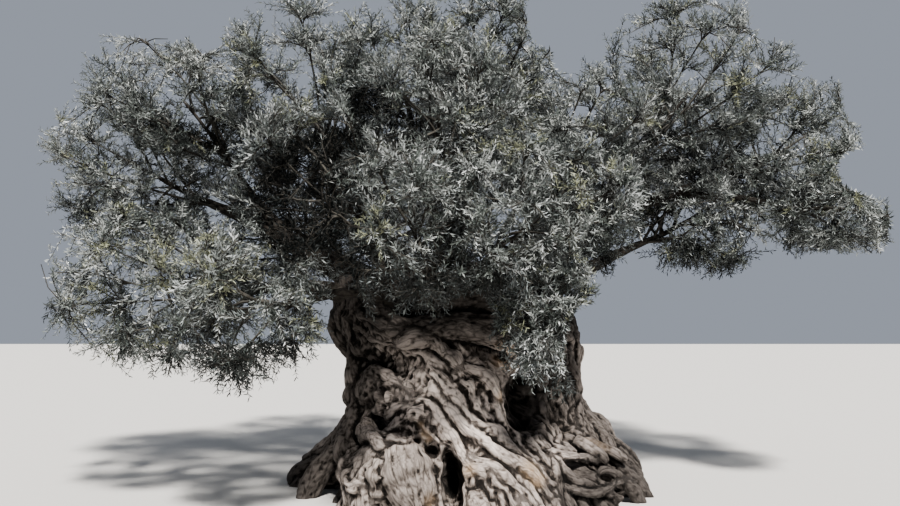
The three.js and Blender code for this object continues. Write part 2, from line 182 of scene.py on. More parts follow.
HOLLOWS = {
    "niche": ((-0.25, -1.62, 0.36), (0.11, 0.5, 0.36)),
    "overhang": ((-0.36, -1.55, 0.65), (0.2, 0.4, 0.07)),
    "cavity": ((0.62, -0.98, 1.18), (0.25, 0.6, 0.42)),
    "left_gap": ((-1.62, -1.1, 0.2), (0.17, 0.42, 0.3)),
    "root_gap": ((1.28, -1.05, 0.42), (0.4, 0.55, 0.16)),
    "outer_gap": ((1.7, -0.88, 0.34), (0.2, 0.22, 0.07)),
}

# Stems, arms and roots that stand clear of the body: radii at both ends, and the places they pass.
STEMS = {
    "right_stem": ((0.41, 0.47), [
        (0.84, 0.06, 2.15), (0.98, -0.08, 1.5), (0.98, -0.12, 0.9), (1.25, -0.06, 0.3), (1.55, 0, -BELOW),
    ]),
    "low_arm": ((0.22, 0.17), [
        (-1.3, -0.38, 2.25), (-0.88, -0.8, 1.93), (-0.15, -0.93, 2.02), (0.52, -0.9, 1.88),
        (0.98, -0.64, 1.56),
    ]),
    "high_arm": ((0.2, 0.23), [
        (-1.05, -0.38, 2.52), (-0.35, -0.7, 2.38), (0.45, -0.72, 2.33), (1, -0.3, 2.15),
    ]),
    "left_leg": ((0.17, 0.12), [
        (-1.12, -0.43, 0.95), (-1.5, -0.56, 0.64), (-1.85, -0.64, 0.28), (-2.12, -0.68, -BELOW),
    ]),
    "left_stub": ((0.42, 0.33), [(-1, 0, 1.7), (-1.38, -0.06, 2.2), (-1.47, 0.02, 2.7)]),
    "near_root": ((0.24, 0.12), [
        (1.15, -0.43, 0.65), (1.52, -0.6, 0.33), (1.95, -0.56, 0.06), (2.25, -0.52, -BELOW),
    ]),
    "far_root": ((0.2, 0.1), [(1.15, 0.15, 0.72), (1.55, 0.16, 0.4), (1.96, 0.06, 0.2), (2.2, 0, 0.06)]),
    "dead_stub": ((0.17, 0.06), [(1.25, -0.25, 0.72), (1.6, -0.33, 0.65), (1.88, -0.26, 0.5)]),
}


def mix(low, high, t):
    return low + (high - low) * t


def eased(t, start, end):
    share = np.clip((t - start) / (end - start), 0, 1)
    return share * share * (3 - 2 * share)


def unit(v):
    return v / np.maximum(np.linalg.norm(v, axis=-1, keepdims=True), 1e-9)


def line_through(places, count):
    """A smooth line that passes each place, in even steps of its own parameter."""
    places = np.array(places, float)
    ends = [2 * places[0] - places[1], 2 * places[-1] - places[-2]]
    held = np.vstack([ends[0], places, ends[1]])
    spans = len(places) - 1
    out = []
    for t in np.linspace(0, spans, count + 1):
        k = min(int(t), spans - 1)
        x0, x1, x2, x3 = held[k:k + 4]
        d0, d1, d2 = [np.linalg.norm(b - a) ** 0.5 for a, b in ((x0, x1), (x1, x2), (x2, x3))]
        leave = d1 * ((x1 - x0) / d0 - (x2 - x0) / (d0 + d1) + (x2 - x1) / d1)
        arrive = d1 * ((x2 - x1) / d1 - (x3 - x1) / (d1 + d2) + (x3 - x2) / d2)
        w = t - k
        a = 2 * x1 - 2 * x2 + leave + arrive
        b = -3 * x1 + 3 * x2 - 2 * leave - arrive
        out.append(x1 + w * (leave + w * (b + w * a)))
    return np.array(out)


def cylinder_in_rings(shape, sides, rings):
    """A capped cylinder of radius 1 from -0.5 to 0.5, cut into rings. Gives its vertices."""
    before = len(shape.verts)
    made = bmesh.ops.create_cone(shape, cap_ends=True, segments=sides, radius1=1, radius2=1, depth=1)
    edges = {e for v in made["verts"] for e in v.link_edges}
    upright = [e for e in edges if e.verts[0].co.z * e.verts[1].co.z < 0]
    bmesh.ops.subdivide_edges(shape, edges=upright, cuts=rings - 1)
    shape.verts.ensure_lookup_table()
    return shape.verts[before:]


class Limb:
    """A tapering limb along a line, with a frame that turns no more than the line does."""

    def __init__(self, line, girth):
        self.line = line
        self.girth = girth
        self.along = unit(np.gradient(line, axis=0))
        self.run = np.concatenate([[0], np.cumsum(np.linalg.norm(np.diff(line, axis=0), axis=1))])
        side = np.array([0.0, 1, 0]) if abs(self.along[0][1]) < 0.9 else np.array([1.0, 0, 0])
        sides = []
        for along in self.along:
            side = unit(side - (side @ along) * along)
            sides.append(side)
        self.side = np.array(sides)
        self.across = np.cross(self.along, self.side)

    def add_to(self, shape, sides=STRAND_SIDES):
        """A cylinder whose rings are moved onto the line. Gives its vertices."""
        rings = len(self.line) - 1
        corners = cylinder_in_rings(shape, sides, rings)
        for v in corners:
            k = round((v.co.z + 0.5) * rings)
            angle = math.atan2(v.co.y, v.co.x)
            radius = self.girth(k / rings, -angle)
            out = self.side[k] * math.cos(angle) + self.across[k] * math.sin(angle)
            v.co = self.line[k] + out * radius
        return corners

    def nearness(self, spots):
        """How far outside the limb each spot is, and its place in the limb's own grain."""
        margin = self.girth(0.5, 0.0) * 1.6 + 0.15
        close = ((spots > self.line.min(0) - margin) & (spots < self.line.max(0) + margin)).all(1)
        gap, grain = np.full(len(spots), 9.0), np.zeros_like(spots)
        if close.any():
            gap[close], grain[close] = self.nearness_close_by(spots[close])
        return gap, grain

    def nearness_close_by(self, spots):
        step = self.run[-1] / (len(self.line) - 1)
        apart = ((spots[:, None, :] - self.line[None]) ** 2).sum(-1)
        k = apart.argmin(1)
        off = spots - self.line[k]
        ahead = (off * self.along[k]).sum(1)
        out = off - ahead[:, None] * self.along[k]
        angle = np.arctan2((out * self.across[k]).sum(1), (out * self.side[k]).sum(1))
        share = self.run[k] / self.run[-1]
        radius = self.girth(share, -angle)
        gap = np.linalg.norm(out, axis=1) - radius
        beyond = np.maximum(np.abs(ahead) - step, 0)
        gap = np.where(beyond > 0, np.hypot(np.maximum(gap, 0), beyond), gap)
        wide = self.girth(0.5, 0.0)
        grain = np.stack([np.cos(angle) * wide, np.sin(angle) * wide, self.run[k] + ahead], 1)
        return gap, grain


class Lump:
    """A burl or a hollow: a ball stretched to its half sizes, with low waves over it."""

    def __init__(self, middle, size):
        self.middle = np.array(middle)
        self.size = np.array(size)

    def add_to(self, shape, rounds=4):
        made = bmesh.ops.create_icosphere(shape, subdivisions=rounds, radius=1)
        for v in made["verts"]:
            x, y, z = v.co
            wave = 1 + 0.06 * math.sin(4 * x + 3 * z) + 0.05 * math.cos(5 * y - 2 * z)
            v.co = self.middle + np.array(v.co) * self.size * wave

    def nearness(self, spots):
        off = spots - self.middle
        gap = (np.linalg.norm(off / self.size, axis=1) - 1) * self.size.min()
        return gap, off


def body_at(height):
    """The plain body at a height, no higher than its head: half width, half depth, middle x and y."""
    return [np.interp(height, BODY[:, 0], BODY[:, k]) for k in range(1, 5)]


class Body:
    """The old heart of the trunk: an upright cylinder that takes each height's width and depth."""

    def add_to(self, shape, sides=72, rings=40):
        for v in cylinder_in_rings(shape, sides, rings):
            height = mix(-BELOW, HEAD_HEIGHT, v.co.z + 0.5)
            width, depth, x, y = body_at(height)
            wave = 1 + 0.05 * math.sin(3 * math.atan2(v.co.y, v.co.x) + 2 * height)
            v.co = (x + v.co.x * width * wave, y + v.co.y * depth * wave, height)

    def nearness(self, spots):
        width, depth, x, y = body_at(spots[:, 2])
        across, deep = (spots[:, 0] - x) / width, (spots[:, 1] - y) / depth
        angle = np.arctan2(deep, across)
        gap = np.maximum((np.hypot(across, deep) - 1) * depth, spots[:, 2] - HEAD_HEIGHT)
        turned = angle + (0.12 + 0.4 * np.clip(-np.sin(angle), 0, 1)) * spots[:, 2]
        return gap, np.stack([np.cos(turned) * 1.1, np.sin(turned) * 1.1, spots[:, 2]], 1)


def strand(top_angle, top_height, foot_angle, foot, girth, proud):
    """One strand: it starts at the body's skin, winds down to its foot's angle and runs out as a root."""
    places = []
    for t in np.linspace(0, 1, 7):
        height = mix(top_height, -BELOW, t)
        angle = math.radians(mix(top_angle, foot_angle, t ** 0.75))
        width, depth, x, y = body_at(max(height, 0))
        skin = 1 / math.hypot(math.cos(angle) / width, math.sin(angle) / depth)
        out = mix(skin - girth * 0.35 + proud, foot, eased(t, 0.45, 1))
        places.append((x + out * math.cos(angle), y + out * math.sin(angle), height))

    def radius(t, angle):
        swell = 0.72 + 0.5 * np.sin(math.pi * np.minimum(1, 1.15 - 1.15 * t))
        lobes = 1 + 0.12 * np.sin(2 * angle + 7 * t) + 0.1 * np.sin(9 * t + foot * 1000)
        return girth * swell * lobes

    return Limb(line_through(places, STRAND_RINGS), radius)


def strand_row(count, top, foot, reach, lowest, rise, girth, proud):
    """A row of strands whose heights, feet and thicknesses wander, each at a beat of its own."""
    return [
        strand(
            top[0] + k * top[1],
            lowest + rise * math.sin(math.pi * (k + 0.6) / (count + 1)),
            foot[0] + k * foot[1],
            reach * (1 + 0.085 * math.sin(2.3 * k + 0.6)),
            girth * (1 + 0.19 * math.sin(1.8 * k + 1)),
            proud,
        )
        for k in range(count)
    ]


def stem(ends, places):
    def radius(t, angle):
        wave = 1 + 0.1 * np.sin(2 * angle + 6 * t) + 0.06 * np.sin(11 * t)
        return mix(*ends, t) * wave

    return Limb(line_through(places, STRAND_RINGS), radius)


def apply_modifiers(piece):
    """Takes the shape that a piece's modifiers give it as its own mesh."""
    made = piece.evaluated_get(bpy.context.evaluated_depsgraph_get())
    mesh = bpy.data.meshes.new_from_object(made)
    piece.modifiers.clear()
    old = piece.data
    piece.data = mesh
    bpy.data.meshes.remove(old)


def remesh(piece, size):
    skin = piece.modifiers.new("skin", "REMESH")
    skin.mode = "VOXEL"
    skin.voxel_size = size
    apply_modifiers(piece)


def read_rows(items, field, width, kind=np.float32):
    """A field of all of a mesh's vertices or edges, as an array with a row for each."""
    flat = np.empty(len(items) * width, kind)
    items.foreach_get(field, flat)
    return flat.reshape(-1, width)


def vertex_places(mesh):
    return read_rows(mesh.vertices, "co", 3).astype(float)


def vertex_normals(mesh):
    return read_rows(mesh.vertices, "normal", 3).astype(float)


def edge_ends(mesh):
    return read_rows(mesh.edges, "vertices", 2, np.int32)


def move_vertices(mesh, places):
    mesh.vertices.foreach_set("co", places.astype(np.float32).ravel())
    mesh.update()


def spread_out(values, edges, rounds):
    """Evens values out over a mesh: each takes the average of itself and its neighbours."""
    values = values.astype(float)
    count = np.bincount(edges.ravel(), minlength=len(values)).astype(float)
    flat = values.reshape(len(values), -1)
    for _ in range(rounds):
        total = np.zeros_like(flat)
        np.add.at(total, edges[:, 0], flat[edges[:, 1]])
        np.add.at(total, edges[:, 1], flat[edges[:, 0]])
        flat = (flat + total / np.maximum(count, 1)[:, None]) / 2
    return flat.reshape(values.shape)


def folds(grain, wide, long, seed):
    """Rounded folds with sharp valleys between them, drawn out along the grain."""
    spots = grain / np.array([wide, wide, long]) + seed
    return np.array([abs(noise.noise(Vector(p))) for p in spots])


def wander(grain, wide, long, seed):
    """A soft wandering value from about -1 to 1, drawn out along the grain."""
    spots = grain / np.array([wide, wide, long]) + seed
    return np.array([noise.noise(Vector(p)) for p in spots])


# The bark's folds and how they wander: widths across and along the grain, and a seed, then how high
# they stand and how far they wander, in metres.
BROAD_FOLDS, BROAD_HEIGHT = (0.32, 0.85, 11.7), 0.07
NARROW_FOLDS, NARROW_HEIGHT = (0.1, 0.46, 27.3), 0.03
SMALL_FOLDS, SMALL_HEIGHT = (0.05, 0.14, 41.9), 0.02
SWING, SWAY = (0.3, 0.3, 3.1), (0.22, 0.3, 63.7)
SWING_ACROSS, SWING_ALONG = 0.13, 0.07


def bark_relief(grain, knobbly=1.0):
    """How far the bark stands out or falls in, in metres, for places in a limb's own grain."""
    swing, sway = wander(grain, *SWING), wander(grain, *SWAY)
    turned = grain + np.stack([swing * SWING_ACROSS, sway * SWING_ACROSS, swing * SWING_ALONG], 1)
    broad, narrow, small = [folds(turned, *kind) for kind in (BROAD_FOLDS, NARROW_FOLDS, SMALL_FOLDS)]
    knobs = BROAD_HEIGHT * (broad ** 0.6 - 0.4) + SMALL_HEIGHT * (small ** 0.8 - 0.26)
    return knobs * knobbly + NARROW_HEIGHT * (narrow ** 0.75 - 0.3)


trunk_parts = [
    Body(),
    *strand_row(**ROBE),
    *strand_row(**BACK),
    *[Lump(*one) for one in BURLS.values()],
    *[stem(*one) for one in STEMS.values()],
]
trunk_shape = bmesh.new()
for part in trunk_parts:
    part.add_to(trunk_shape)
trunk = piece_from("trunk_skin", trunk_shape)
remesh(trunk, HEART_MESH)

hollow_shape = bmesh.new()
for one in HOLLOWS.values():
    Lump(*one).add_to(hollow_shape)
hollows = piece_from("hollows", hollow_shape)
remesh(hollows, HEART_MESH)
carve = trunk.modifiers.new("carve", "BOOLEAN")
carve.operation = "DIFFERENCE"
carve.object = hollows
carve.solver = "EXACT"
apply_modifiers(trunk)
bpy.data.objects.remove(hollows)


def keep_outer_skin(piece):
    """Drops the closed pockets that the strands leave inside, so that only the outer skin is left."""
    shape = bmesh.new()
    shape.from_mesh(piece.data)
    first = max(shape.verts, key=lambda v: v.co.x)
    found = {first}
    edge_of_search = [first]
    while edge_of_search:
        ahead = []
        for v in edge_of_search:
            for e in v.link_edges:
                other = e.other_vert(v)
                if other not in found:
                    found.add(other)
                    ahead.append(other)
        edge_of_search = ahead
    inner = [v for v in shape.verts if v not in found]
    bmesh.ops.delete(shape, geom=inner, context="VERTS")
    shape.to_mesh(piece.data)
    shape.free()


keep_outer_skin(trunk)
heart = spread_out(vertex_places(trunk.data), edge_ends(trunk.data), HEART_EVENING)
move_vertices(trunk.data, heart)
heart_skin = BVHTree.FromObject(trunk, bpy.context.evaluated_depsgraph_get())

# The strands that show on the front, each with its radius and the places it passes, as seen from
# the camera in the picture's own units, from its top to its foot.
FRONT_STRANDS = [
    (0.115, [(372, 366), (385, 374), (398, 382), (408, 388), (417, 393), (426, 391), (435, 391), (446, 403),
             (454, 412), (462, 422), (479, 438), (500, 451), (520, 463), (538, 478), (552, 496)]),
    (0.11, [(386, 417), (395, 408), (403, 404), (421, 401), (435, 408), (444, 422), (451, 437), (461, 451),
            (475, 463), (497, 473), (520, 487), (534, 503)]),
    (0.1, [(408, 373), (418, 367), (429, 366), (439, 378), (451, 393), (462, 409), (473, 420), (494, 429),
           (507, 444), (520, 453), (536, 466), (552, 484)]),
    (0.1, [(461, 366), (475, 371), (487, 378), (496, 391), (506, 405), (508, 415), (520, 427), (530, 440),
           (545, 456), (560, 476)]),
    (0.085, [(463, 380), (473, 388), (475, 403), (485, 415), (495, 422)]),
    (0.1, [(386, 358), (392, 350), (403, 343), (417, 338), (434, 342), (446, 352), (457, 361), (466, 374)]),
    (0.085, [(396, 360), (406, 353), (420, 353), (431, 359), (441, 368), (451, 380)]),
    (0.09, [(404, 415), (416, 412), (428, 415)]),
    (0.05, [(422, 424), (429, 432), (437, 441), (446, 457)]),
    (0.085, [(372, 392), (384, 398), (396, 396), (408, 399)]),
    (0.1, [(384, 402), (372, 410), (366, 424), (372, 438), (384, 446), (398, 449)]),
    (0.085, [(362, 428), (352, 438), (344, 452), (340, 468), (342, 486)]),
    (0.08, [(388, 428), (400, 426), (410, 430), (414, 438)]),
    (0.08, [(384, 436), (396, 440), (406, 446), (418, 448)]),
    (0.09, [(352, 466), (344, 478), (350, 486), (364, 484), (376, 492), (380, 505)]),
    (0.26, [(410, 448), (411, 462), (413, 482), (414, 505)]),
    (0.13, [(380, 460), (376, 474), (378, 490), (380, 505)]),
    (0.08, [(452, 445), (463, 455), (481, 468), (497, 480), (508, 492), (514, 505)]),
    (0.06, [(459, 470), (470, 464), (480, 470), (486, 482), (492, 496)]),
    (0.085, [(352, 322), (366, 332), (380, 342), (390, 346)]),
    (0.08, [(346, 338), (356, 350), (368, 356), (378, 360)]),
    (0.075, [(344, 306), (356, 312), (372, 320), (388, 326), (402, 326)]),
    (0.07, [(352, 376), (349, 390), (354, 404), (362, 412)]),
    (0.065, [(364, 380), (362, 392), (364, 402), (368, 408)]),
    (0.08, [(545, 372), (542, 390), (546, 408), (552, 424), (560, 440)]),
    (0.075, [(560, 374), (558, 392), (563, 408), (568, 424), (578, 438)]),
    (0.065, [(570, 380), (574, 396), (573, 412), (578, 426)]),
    (0.08, [(500, 345), (510, 350), (518, 362), (530, 368)]),
    (0.06, [(484, 352), (494, 360), (506, 366), (520, 372)]),
    (0.06, [(575, 444), (592, 450), (607, 455), (622, 461), (634, 470)]),
    (0.085, [(530, 424), (540, 438), (549, 452), (556, 468), (560, 486), (566, 503)]),
]

# Dead roots that bridge the gap at the right: radii at both ends, and the places they pass, across
# and down in the picture and how far behind the origin. Their bark is almost flat.
DEAD_ROOTS = [
    ((0.06, 0.045), [
        (546, 450, -1.25), (562, 455, -1.24), (582, 458, -1.12), (600, 463, -0.95), (614, 470, -0.82),
    ]),
    ((0.1, 0.06), [(576, 442, -0.74), (590, 450, -0.9), (600, 457, -0.97), (607, 464, -1.0)]),
    ((0.08, 0.05), [(584, 442, -0.66), (602, 447, -0.74), (616, 453, -0.78), (626, 461, -0.8)]),
    ((0.045, 0.08), [
        (594, 475, -1.12), (604, 471, -1.1), (616, 475, -1.04), (630, 486, -0.97), (648, 515, -0.88),
    ]),
    ((0.07, 0.05), [
        (556, 460, -1.3), (563, 469, -1.36), (574, 479, -1.38), (590, 486, -1.34), (622, 499, -1.22),
    ]),
    ((0.06, 0.045), [
        (556, 484, -1.56), (574, 490, -1.5), (592, 493, -1.42), (606, 490, -1.32), (616, 483, -1.1),
    ]),
    ((0.045, 0.04), [
        (594, 475, -1.14), (600, 482, -1.22), (612, 485, -1.18), (624, 480, -1.02), (634, 483, -0.84),
    ]),
]
DEAD_ROOT_RELIEF = 0.013
STRAND_WIDTH = 1.22
SLIM_STRAND = 0.11
STRAND_SINK = 0.47
SHOWN_STRAND_SIDES = 12
SIDE_STRANDS = 40
SIDE_STRAND_RADIUS = 0.11

# The strands on the sides and back: where the first stands and how far round the others go, in
# degrees, the highest top, how much lower others start, how low they go, and how far they twist.
SIDE_FROM = -38
SIDE_ROUND = 256
SIDE_TOP = 2.25
SIDE_DROP = 0.75
SIDE_FOOT = -0.1
SIDE_TWIST = 0.35
SIDE_SWAY = 0.09
GOLDEN_SHARE = 0.6180339887
PLASTIC_SHARE = 0.7548776662
OUTSIDE_REACH = 4


def picture_ray(across, down):
    """The way from the camera through a place in the picture."""
    pitch = CAMERA_PITCH - math.pi / 2
    ahead = Vector((0, math.cos(pitch), math.sin(pitch)))
    up = Vector((0, -math.sin(pitch), math.cos(pitch)))
    way = ahead + Vector((1, 0, 0)) * (across - PICTURE_WIDTH / 2) / FOCAL_LENGTH
    way += up * (PICTURE_HEIGHT / 2 - down) / FOCAL_LENGTH
    return way.normalized()


def on_skin(places, proud):
    """Where the picture's places are on the trunk's skin, standing out of it a little."""
    found = []
    for across, down in places:
        spot, facing, _, _ = heart_skin.ray_cast(Vector(CAMERA_PLACE), picture_ray(across, down))
        if spot is not None:
            found.append(np.array(spot + facing * proud))
    return found


def at_depth(across, down, behind):
    """The place that shows there in the picture, a distance behind the origin."""
    way = picture_ray(across, down)
    return np.array(Vector(CAMERA_PLACE) + way * ((behind - CAMERA_PLACE[1]) / way.y))


def wood_strand(radius, places, seed):
    """A strand that swells, thins and sinks into the trunk at both ends."""
    def girth(t, angle):
        body = 0.62 + 0.4 * np.sin(math.pi * np.clip(t * 0.86 + 0.1, 0, 1))
        knots = 0.16 * np.sin(17 * t + seed) + 0.1 * np.sin(3 * angle + 23 * t + seed)
        return radius * body * (1 + knots * min(1, SLIM_STRAND / radius))

    return Limb(line_through(places, max(8, 5 * len(places))), girth)


def side_strand(k):
    """A strand on the sides or back: it wanders down from the head and out along the flare."""
    bearing = math.radians(SIDE_FROM + SIDE_ROUND * ((k * GOLDEN_SHARE) % 1))
    top = SIDE_TOP - SIDE_DROP * ((k * PLASTIC_SHARE) % 1)
    twist = SIDE_TWIST * math.sin(1.7 * k)
    places = []
    for t in np.linspace(0, 1, 9):
        height = mix(top, SIDE_FOOT, t)
        angle = bearing + twist * t + SIDE_SWAY * math.sin(7 * t + 2.1 * k)
        out = Vector((math.cos(angle), math.sin(angle), 0))
        start = out * OUTSIDE_REACH + Vector((0, 0, height))
        spot, facing, _, _ = heart_skin.ray_cast(start, -out)
        if spot is not None and abs(spot.z - height) < 0.01:
            places.append(np.array(spot - facing * SIDE_STRAND_RADIUS * STRAND_SINK))
    return places


strands = []
for number, (radius, places) in enumerate(FRONT_STRANDS):
    radius = radius * STRAND_WIDTH
    found = on_skin(places, -radius * STRAND_SINK)
    if len(found) > 2:
        strands.append(wood_strand(radius, found, number * 1.3))
for number in range(SIDE_STRANDS):
    found = side_strand(number)
    if len(found) > 2:
        radius = SIDE_STRAND_RADIUS * (1 + 0.35 * math.sin(2.9 * number))
        strands.append(wood_strand(radius, found, number * 2.1))

dead_roots = [stem(ends, [at_depth(*place) for place in places]) for ends, places in DEAD_ROOTS]

strand_shape = bmesh.new()
strand_shape.from_mesh(trunk.data)
for one in strands + dead_roots:
    one.add_to(strand_shape, SHOWN_STRAND_SIDES)
strand_shape.to_mesh(trunk.data)
strand_shape.free()
remesh(trunk, BARK_MESH)
keep_outer_skin(trunk)

# Old knots, where a limb was lost and wood has rolled in round the wound, and slots between
# strands: where they are in the picture, their radius, how deep they go and how high the rim is.
KNOTS = [
    ((416, 441), 0.055, 0.07, 0.035), ((489, 393), 0.04, 0.09, 0.0), ((491, 400), 0.045, 0.11, 0.0),
    ((492, 408), 0.04, 0.09, 0.0), ((415, 414), 0.05, 0.03, 0.03), ((422, 489), 0.06, 0.05, 0.02),
    ((352, 447), 0.06, 0.05, 0.03), ((398, 353), 0.06, 0.06, 0.03), ((430, 371), 0.05, 0.05, 0.03),
    ((447, 462), 0.05, 0.08, 0.0), ((372, 432), 0.055, 0.06, 0.03), ((365, 472), 0.05, 0.04, 0.02),
    ((486, 437), 0.04, 0.03, 0.02), ((418, 380), 0.05, 0.08, 0.0), ((425, 383), 0.05, 0.09, 0.0),
    ((411, 377), 0.04, 0.07, 0.0), ((396, 470), 0.04, 0.04, 0.02), ((470, 480), 0.06, 0.12, 0.0),
    ((385, 408), 0.05, 0.08, 0.01), ((378, 403), 0.045, 0.07, 0.0), ((556, 395), 0.06, 0.07, 0.03),
    ((570, 345), 0.07, 0.05, 0.04), ((360, 332), 0.06, 0.08, 0.03), ((540, 402), 0.05, 0.07, 0.02),
    ((434, 446), 0.05, 0.07, 0.0),
]

# Pale spots where the bark has gone: places in the picture and how wide.
BARE_WOOD = [
    ((424, 434), 0.07), ((428, 438), 0.05), ((421, 425), 0.05), ((417, 451), 0.09), ((508, 349), 0.15),
    ((515, 360), 0.14), ((498, 362), 0.12), ((596, 451), 0.16), ((585, 447), 0.12), ((468, 471), 0.1),
    ((530, 470), 0.12), ((538, 480), 0.1), ((500, 396), 0.08), ((612, 458), 0.12), ((428, 500), 0.09),
]

# Painted shade: wood darkened in colour where the crown's shade falls on it: places in the picture, how
# wide and how dark, and all that is above a height.
SHADED_WOOD = [
    ((350, 352), 0.36, 0.95), ((352, 378), 0.36, 0.85), ((356, 400), 0.3, 0.85), ((346, 392), 0.3, 0.85),
    ((366, 366), 0.24, 0.9), ((368, 388), 0.2, 0.8), ((366, 408), 0.2, 0.8), ((362, 424), 0.2, 0.7),
    ((300, 478), 0.36, 1.0), ((316, 460), 0.32, 1.0), ((332, 442), 0.28, 1.0), ((346, 428), 0.26, 0.9),
    ((322, 490), 0.28, 1.0), ((372, 430), 0.2, 0.6), ((358, 446), 0.22, 0.7), ((348, 462), 0.2, 0.6),
    ((384, 422), 0.16, 0.5), ((524, 392), 0.34, 1.0), ((520, 415), 0.26, 1.0), ((556, 372), 0.34, 0.85),
    ((560, 398), 0.32, 0.8), ((574, 420), 0.3, 0.75), ((545, 420), 0.24, 0.65), ((578, 360), 0.34, 1.0),
    ((600, 478), 0.34, 1.0), ((620, 462), 0.34, 1.0), ((640, 484), 0.36, 1.0), ((584, 466), 0.26, 1.0),
    ((606, 432), 0.3, 0.85), ((590, 420), 0.3, 0.85), ((575, 490), 0.26, 0.9), ((600, 498), 0.3, 1.0),
    ((556, 492), 0.16, 0.5), ((452, 476), 0.2, 0.9), ((440, 454), 0.1, 0.7), ((464, 344), 0.22, 0.7),
    ((500, 430), 0.12, 0.4), ((530, 434), 0.14, 0.4), ((630, 448), 0.2, 0.8), ((612, 488), 0.24, 0.9),
    ((424, 482), 0.4, 0.36), ((398, 484), 0.3, 0.38), ((588, 484), 0.24, 0.9), ((570, 446), 0.12, 0.6),
    ((640, 470), 0.24, 1.0), ((566, 478), 0.14, 0.6),
]
SHADED_HEIGHTS = (1.62, 2.02)

# Painted light: wood made paler in colour where the sun falls on it: places in the picture, how wide and
# how pale.
PAINTED_SUNLIGHT_WOOD = [
    ((412, 392), 0.3, 0.7), ((436, 402), 0.3, 0.7), ((462, 412), 0.3, 0.8), ((480, 400), 0.26, 0.8),
    ((450, 432), 0.28, 0.6), ((482, 436), 0.28, 0.6), ((424, 372), 0.22, 0.4), ((512, 356), 0.26, 0.8),
    ((500, 396), 0.16, 0.7), ((506, 420), 0.14, 0.6),
]

# Broad swellings that have stayed smooth but for fine grooves: places, how wide and how smooth.
SMOOTH_WOOD = [
    ((426, 484), 0.34, 0.6), ((406, 488), 0.3, 0.5), ((382, 486), 0.24, 0.5), ((474, 500), 0.26, 0.6),
    ((420, 462), 0.2, 0.6), ((498, 466), 0.2, 0.4), ((432, 358), 0.2, 0.3), ((356, 390), 0.3, 0.7),
    ((415, 418), 0.18, 0.7), ((440, 402), 0.24, 0.4), ((470, 438), 0.26, 0.4), ((366, 460), 0.2, 0.5),
]
DEPTH_SHARE = 0.35

# How far apart the parts' grains lie, so that none repeats another's bark, how deep the seam
# between two parts is, how proud of the heart's skin a mark is looked for, and how deep a hollow
# in the finished skin counts in full as a crevice, close by and over a wide round.
GRAIN_APART = 3.7
SEAM_DEPTH = 0.028
MARK_PROUD = 0.02
SMALL_HOLLOW = 0.008
WIDE_HOLLOW = 0.06
CREVICE_LIMITS = (-0.45, 1.6)

edges = edge_ends(trunk.data)
skin = spread_out(vertex_places(trunk.data), edges, 2)


def apart_on_skin(spot):
    """How far the skin is from a place on it, where depth counts for less than width and height."""
    off = skin - spot
    ahead = off @ unit(spot - np.array(CAMERA_PLACE))
    return np.sqrt((off ** 2).sum(1) - (1 - DEPTH_SHARE ** 2) * ahead ** 2)


def marks(entries, proud=0.0):
    """Each mark's place on the skin, and the mark's other values."""
    for place, *values in entries:
        for spot in on_skin([place], proud):
            yield (spot, *values)


# Each place on the skin takes the grain of the nearest part, and near a seam the next one's too.
grain_parts = trunk_parts + strands + dead_roots
gaps, grains = [np.array(found) for found in zip(*[part.nearness(skin) for part in grain_parts])]
order = np.argsort(gaps, axis=0)
rows = np.arange(len(skin))
near, next_near = order[0], order[1]
closeness = gaps[next_near, rows] - np.maximum(gaps[near, rows], -0.04)
near_share = 0.5 + 0.5 * eased(closeness, 0, 0.07)
near_grain = grains[near, rows] + near[:, None] * GRAIN_APART
next_grain = grains[next_near, rows] + next_near[:, None] * GRAIN_APART

knobbly = np.ones(len(skin))
for spot, radius, share in marks(SMOOTH_WOOD, MARK_PROUD):
    away = apart_on_skin(spot) / radius
    knobbly = np.minimum(knobbly, 1 - share * (1 - eased(away, 0.6, 1.3)))
relief = bark_relief(near_grain, knobbly) * near_share
relief += bark_relief(next_grain, knobbly) * (1 - near_share)
relief -= SEAM_DEPTH * (1 - eased(closeness, 0, 0.05))
for spot, radius, depth, rim in marks(KNOTS, MARK_PROUD):
    away = np.linalg.norm(skin - spot, axis=1) / radius
    relief += rim * np.exp(-((away - 1.2) / 0.45) ** 2) - depth * np.exp(-(away / 0.7) ** 2)
on_dead_root = near >= len(grain_parts) - len(dead_roots)
relief[on_dead_root] = np.clip(relief[on_dead_root], -DEAD_ROOT_RELIEF, DEAD_ROOT_RELIEF)
relief = spread_out(relief, edges, 1)

bare = np.zeros(len(skin))
for spot, radius in marks(BARE_WOOD, MARK_PROUD):
    bare = np.maximum(bare, np.exp(-(np.linalg.norm(skin - spot, axis=1) / radius) ** 2))
# Painted shade and painted light for the bark's colour: darker above a height and where the crown's shade
# falls, paler where the sun falls.
painted_shade_and_light = eased(skin[:, 2], *SHADED_HEIGHTS)
for spot, radius, strength in marks(SHADED_WOOD):
    away = apart_on_skin(spot) / radius
    painted_shade_and_light = np.maximum(painted_shade_and_light, strength * (1 - eased(away, 0.7, 1.3)))
# Painted sunlight makes the bark's colour paler at these places.
for spot, radius, strength in marks(PAINTED_SUNLIGHT_WOOD):
    away = apart_on_skin(spot) / radius
    painted_shade_and_light = mix(painted_shade_and_light, -1, strength * (1 - eased(away, 0.5, 1.4)))

move_vertices(trunk.data, skin)
carved = skin + vertex_normals(trunk.data) * relief[:, None]
move_vertices(trunk.data, carved)
outward = vertex_normals(trunk.data)
small_hollow = ((spread_out(carved, edges, 6) - carved) * outward).sum(1)
wide_hollow = ((spread_out(carved, edges, 40) - carved) * outward).sum(1)
# Hollows of the finished skin make the bark's colour darker and bulges make it paler: painted shade and
# painted light over the bark's own pattern.
crevice = np.clip(small_hollow / SMALL_HOLLOW + wide_hollow / WIDE_HOLLOW, *CREVICE_LIMITS)


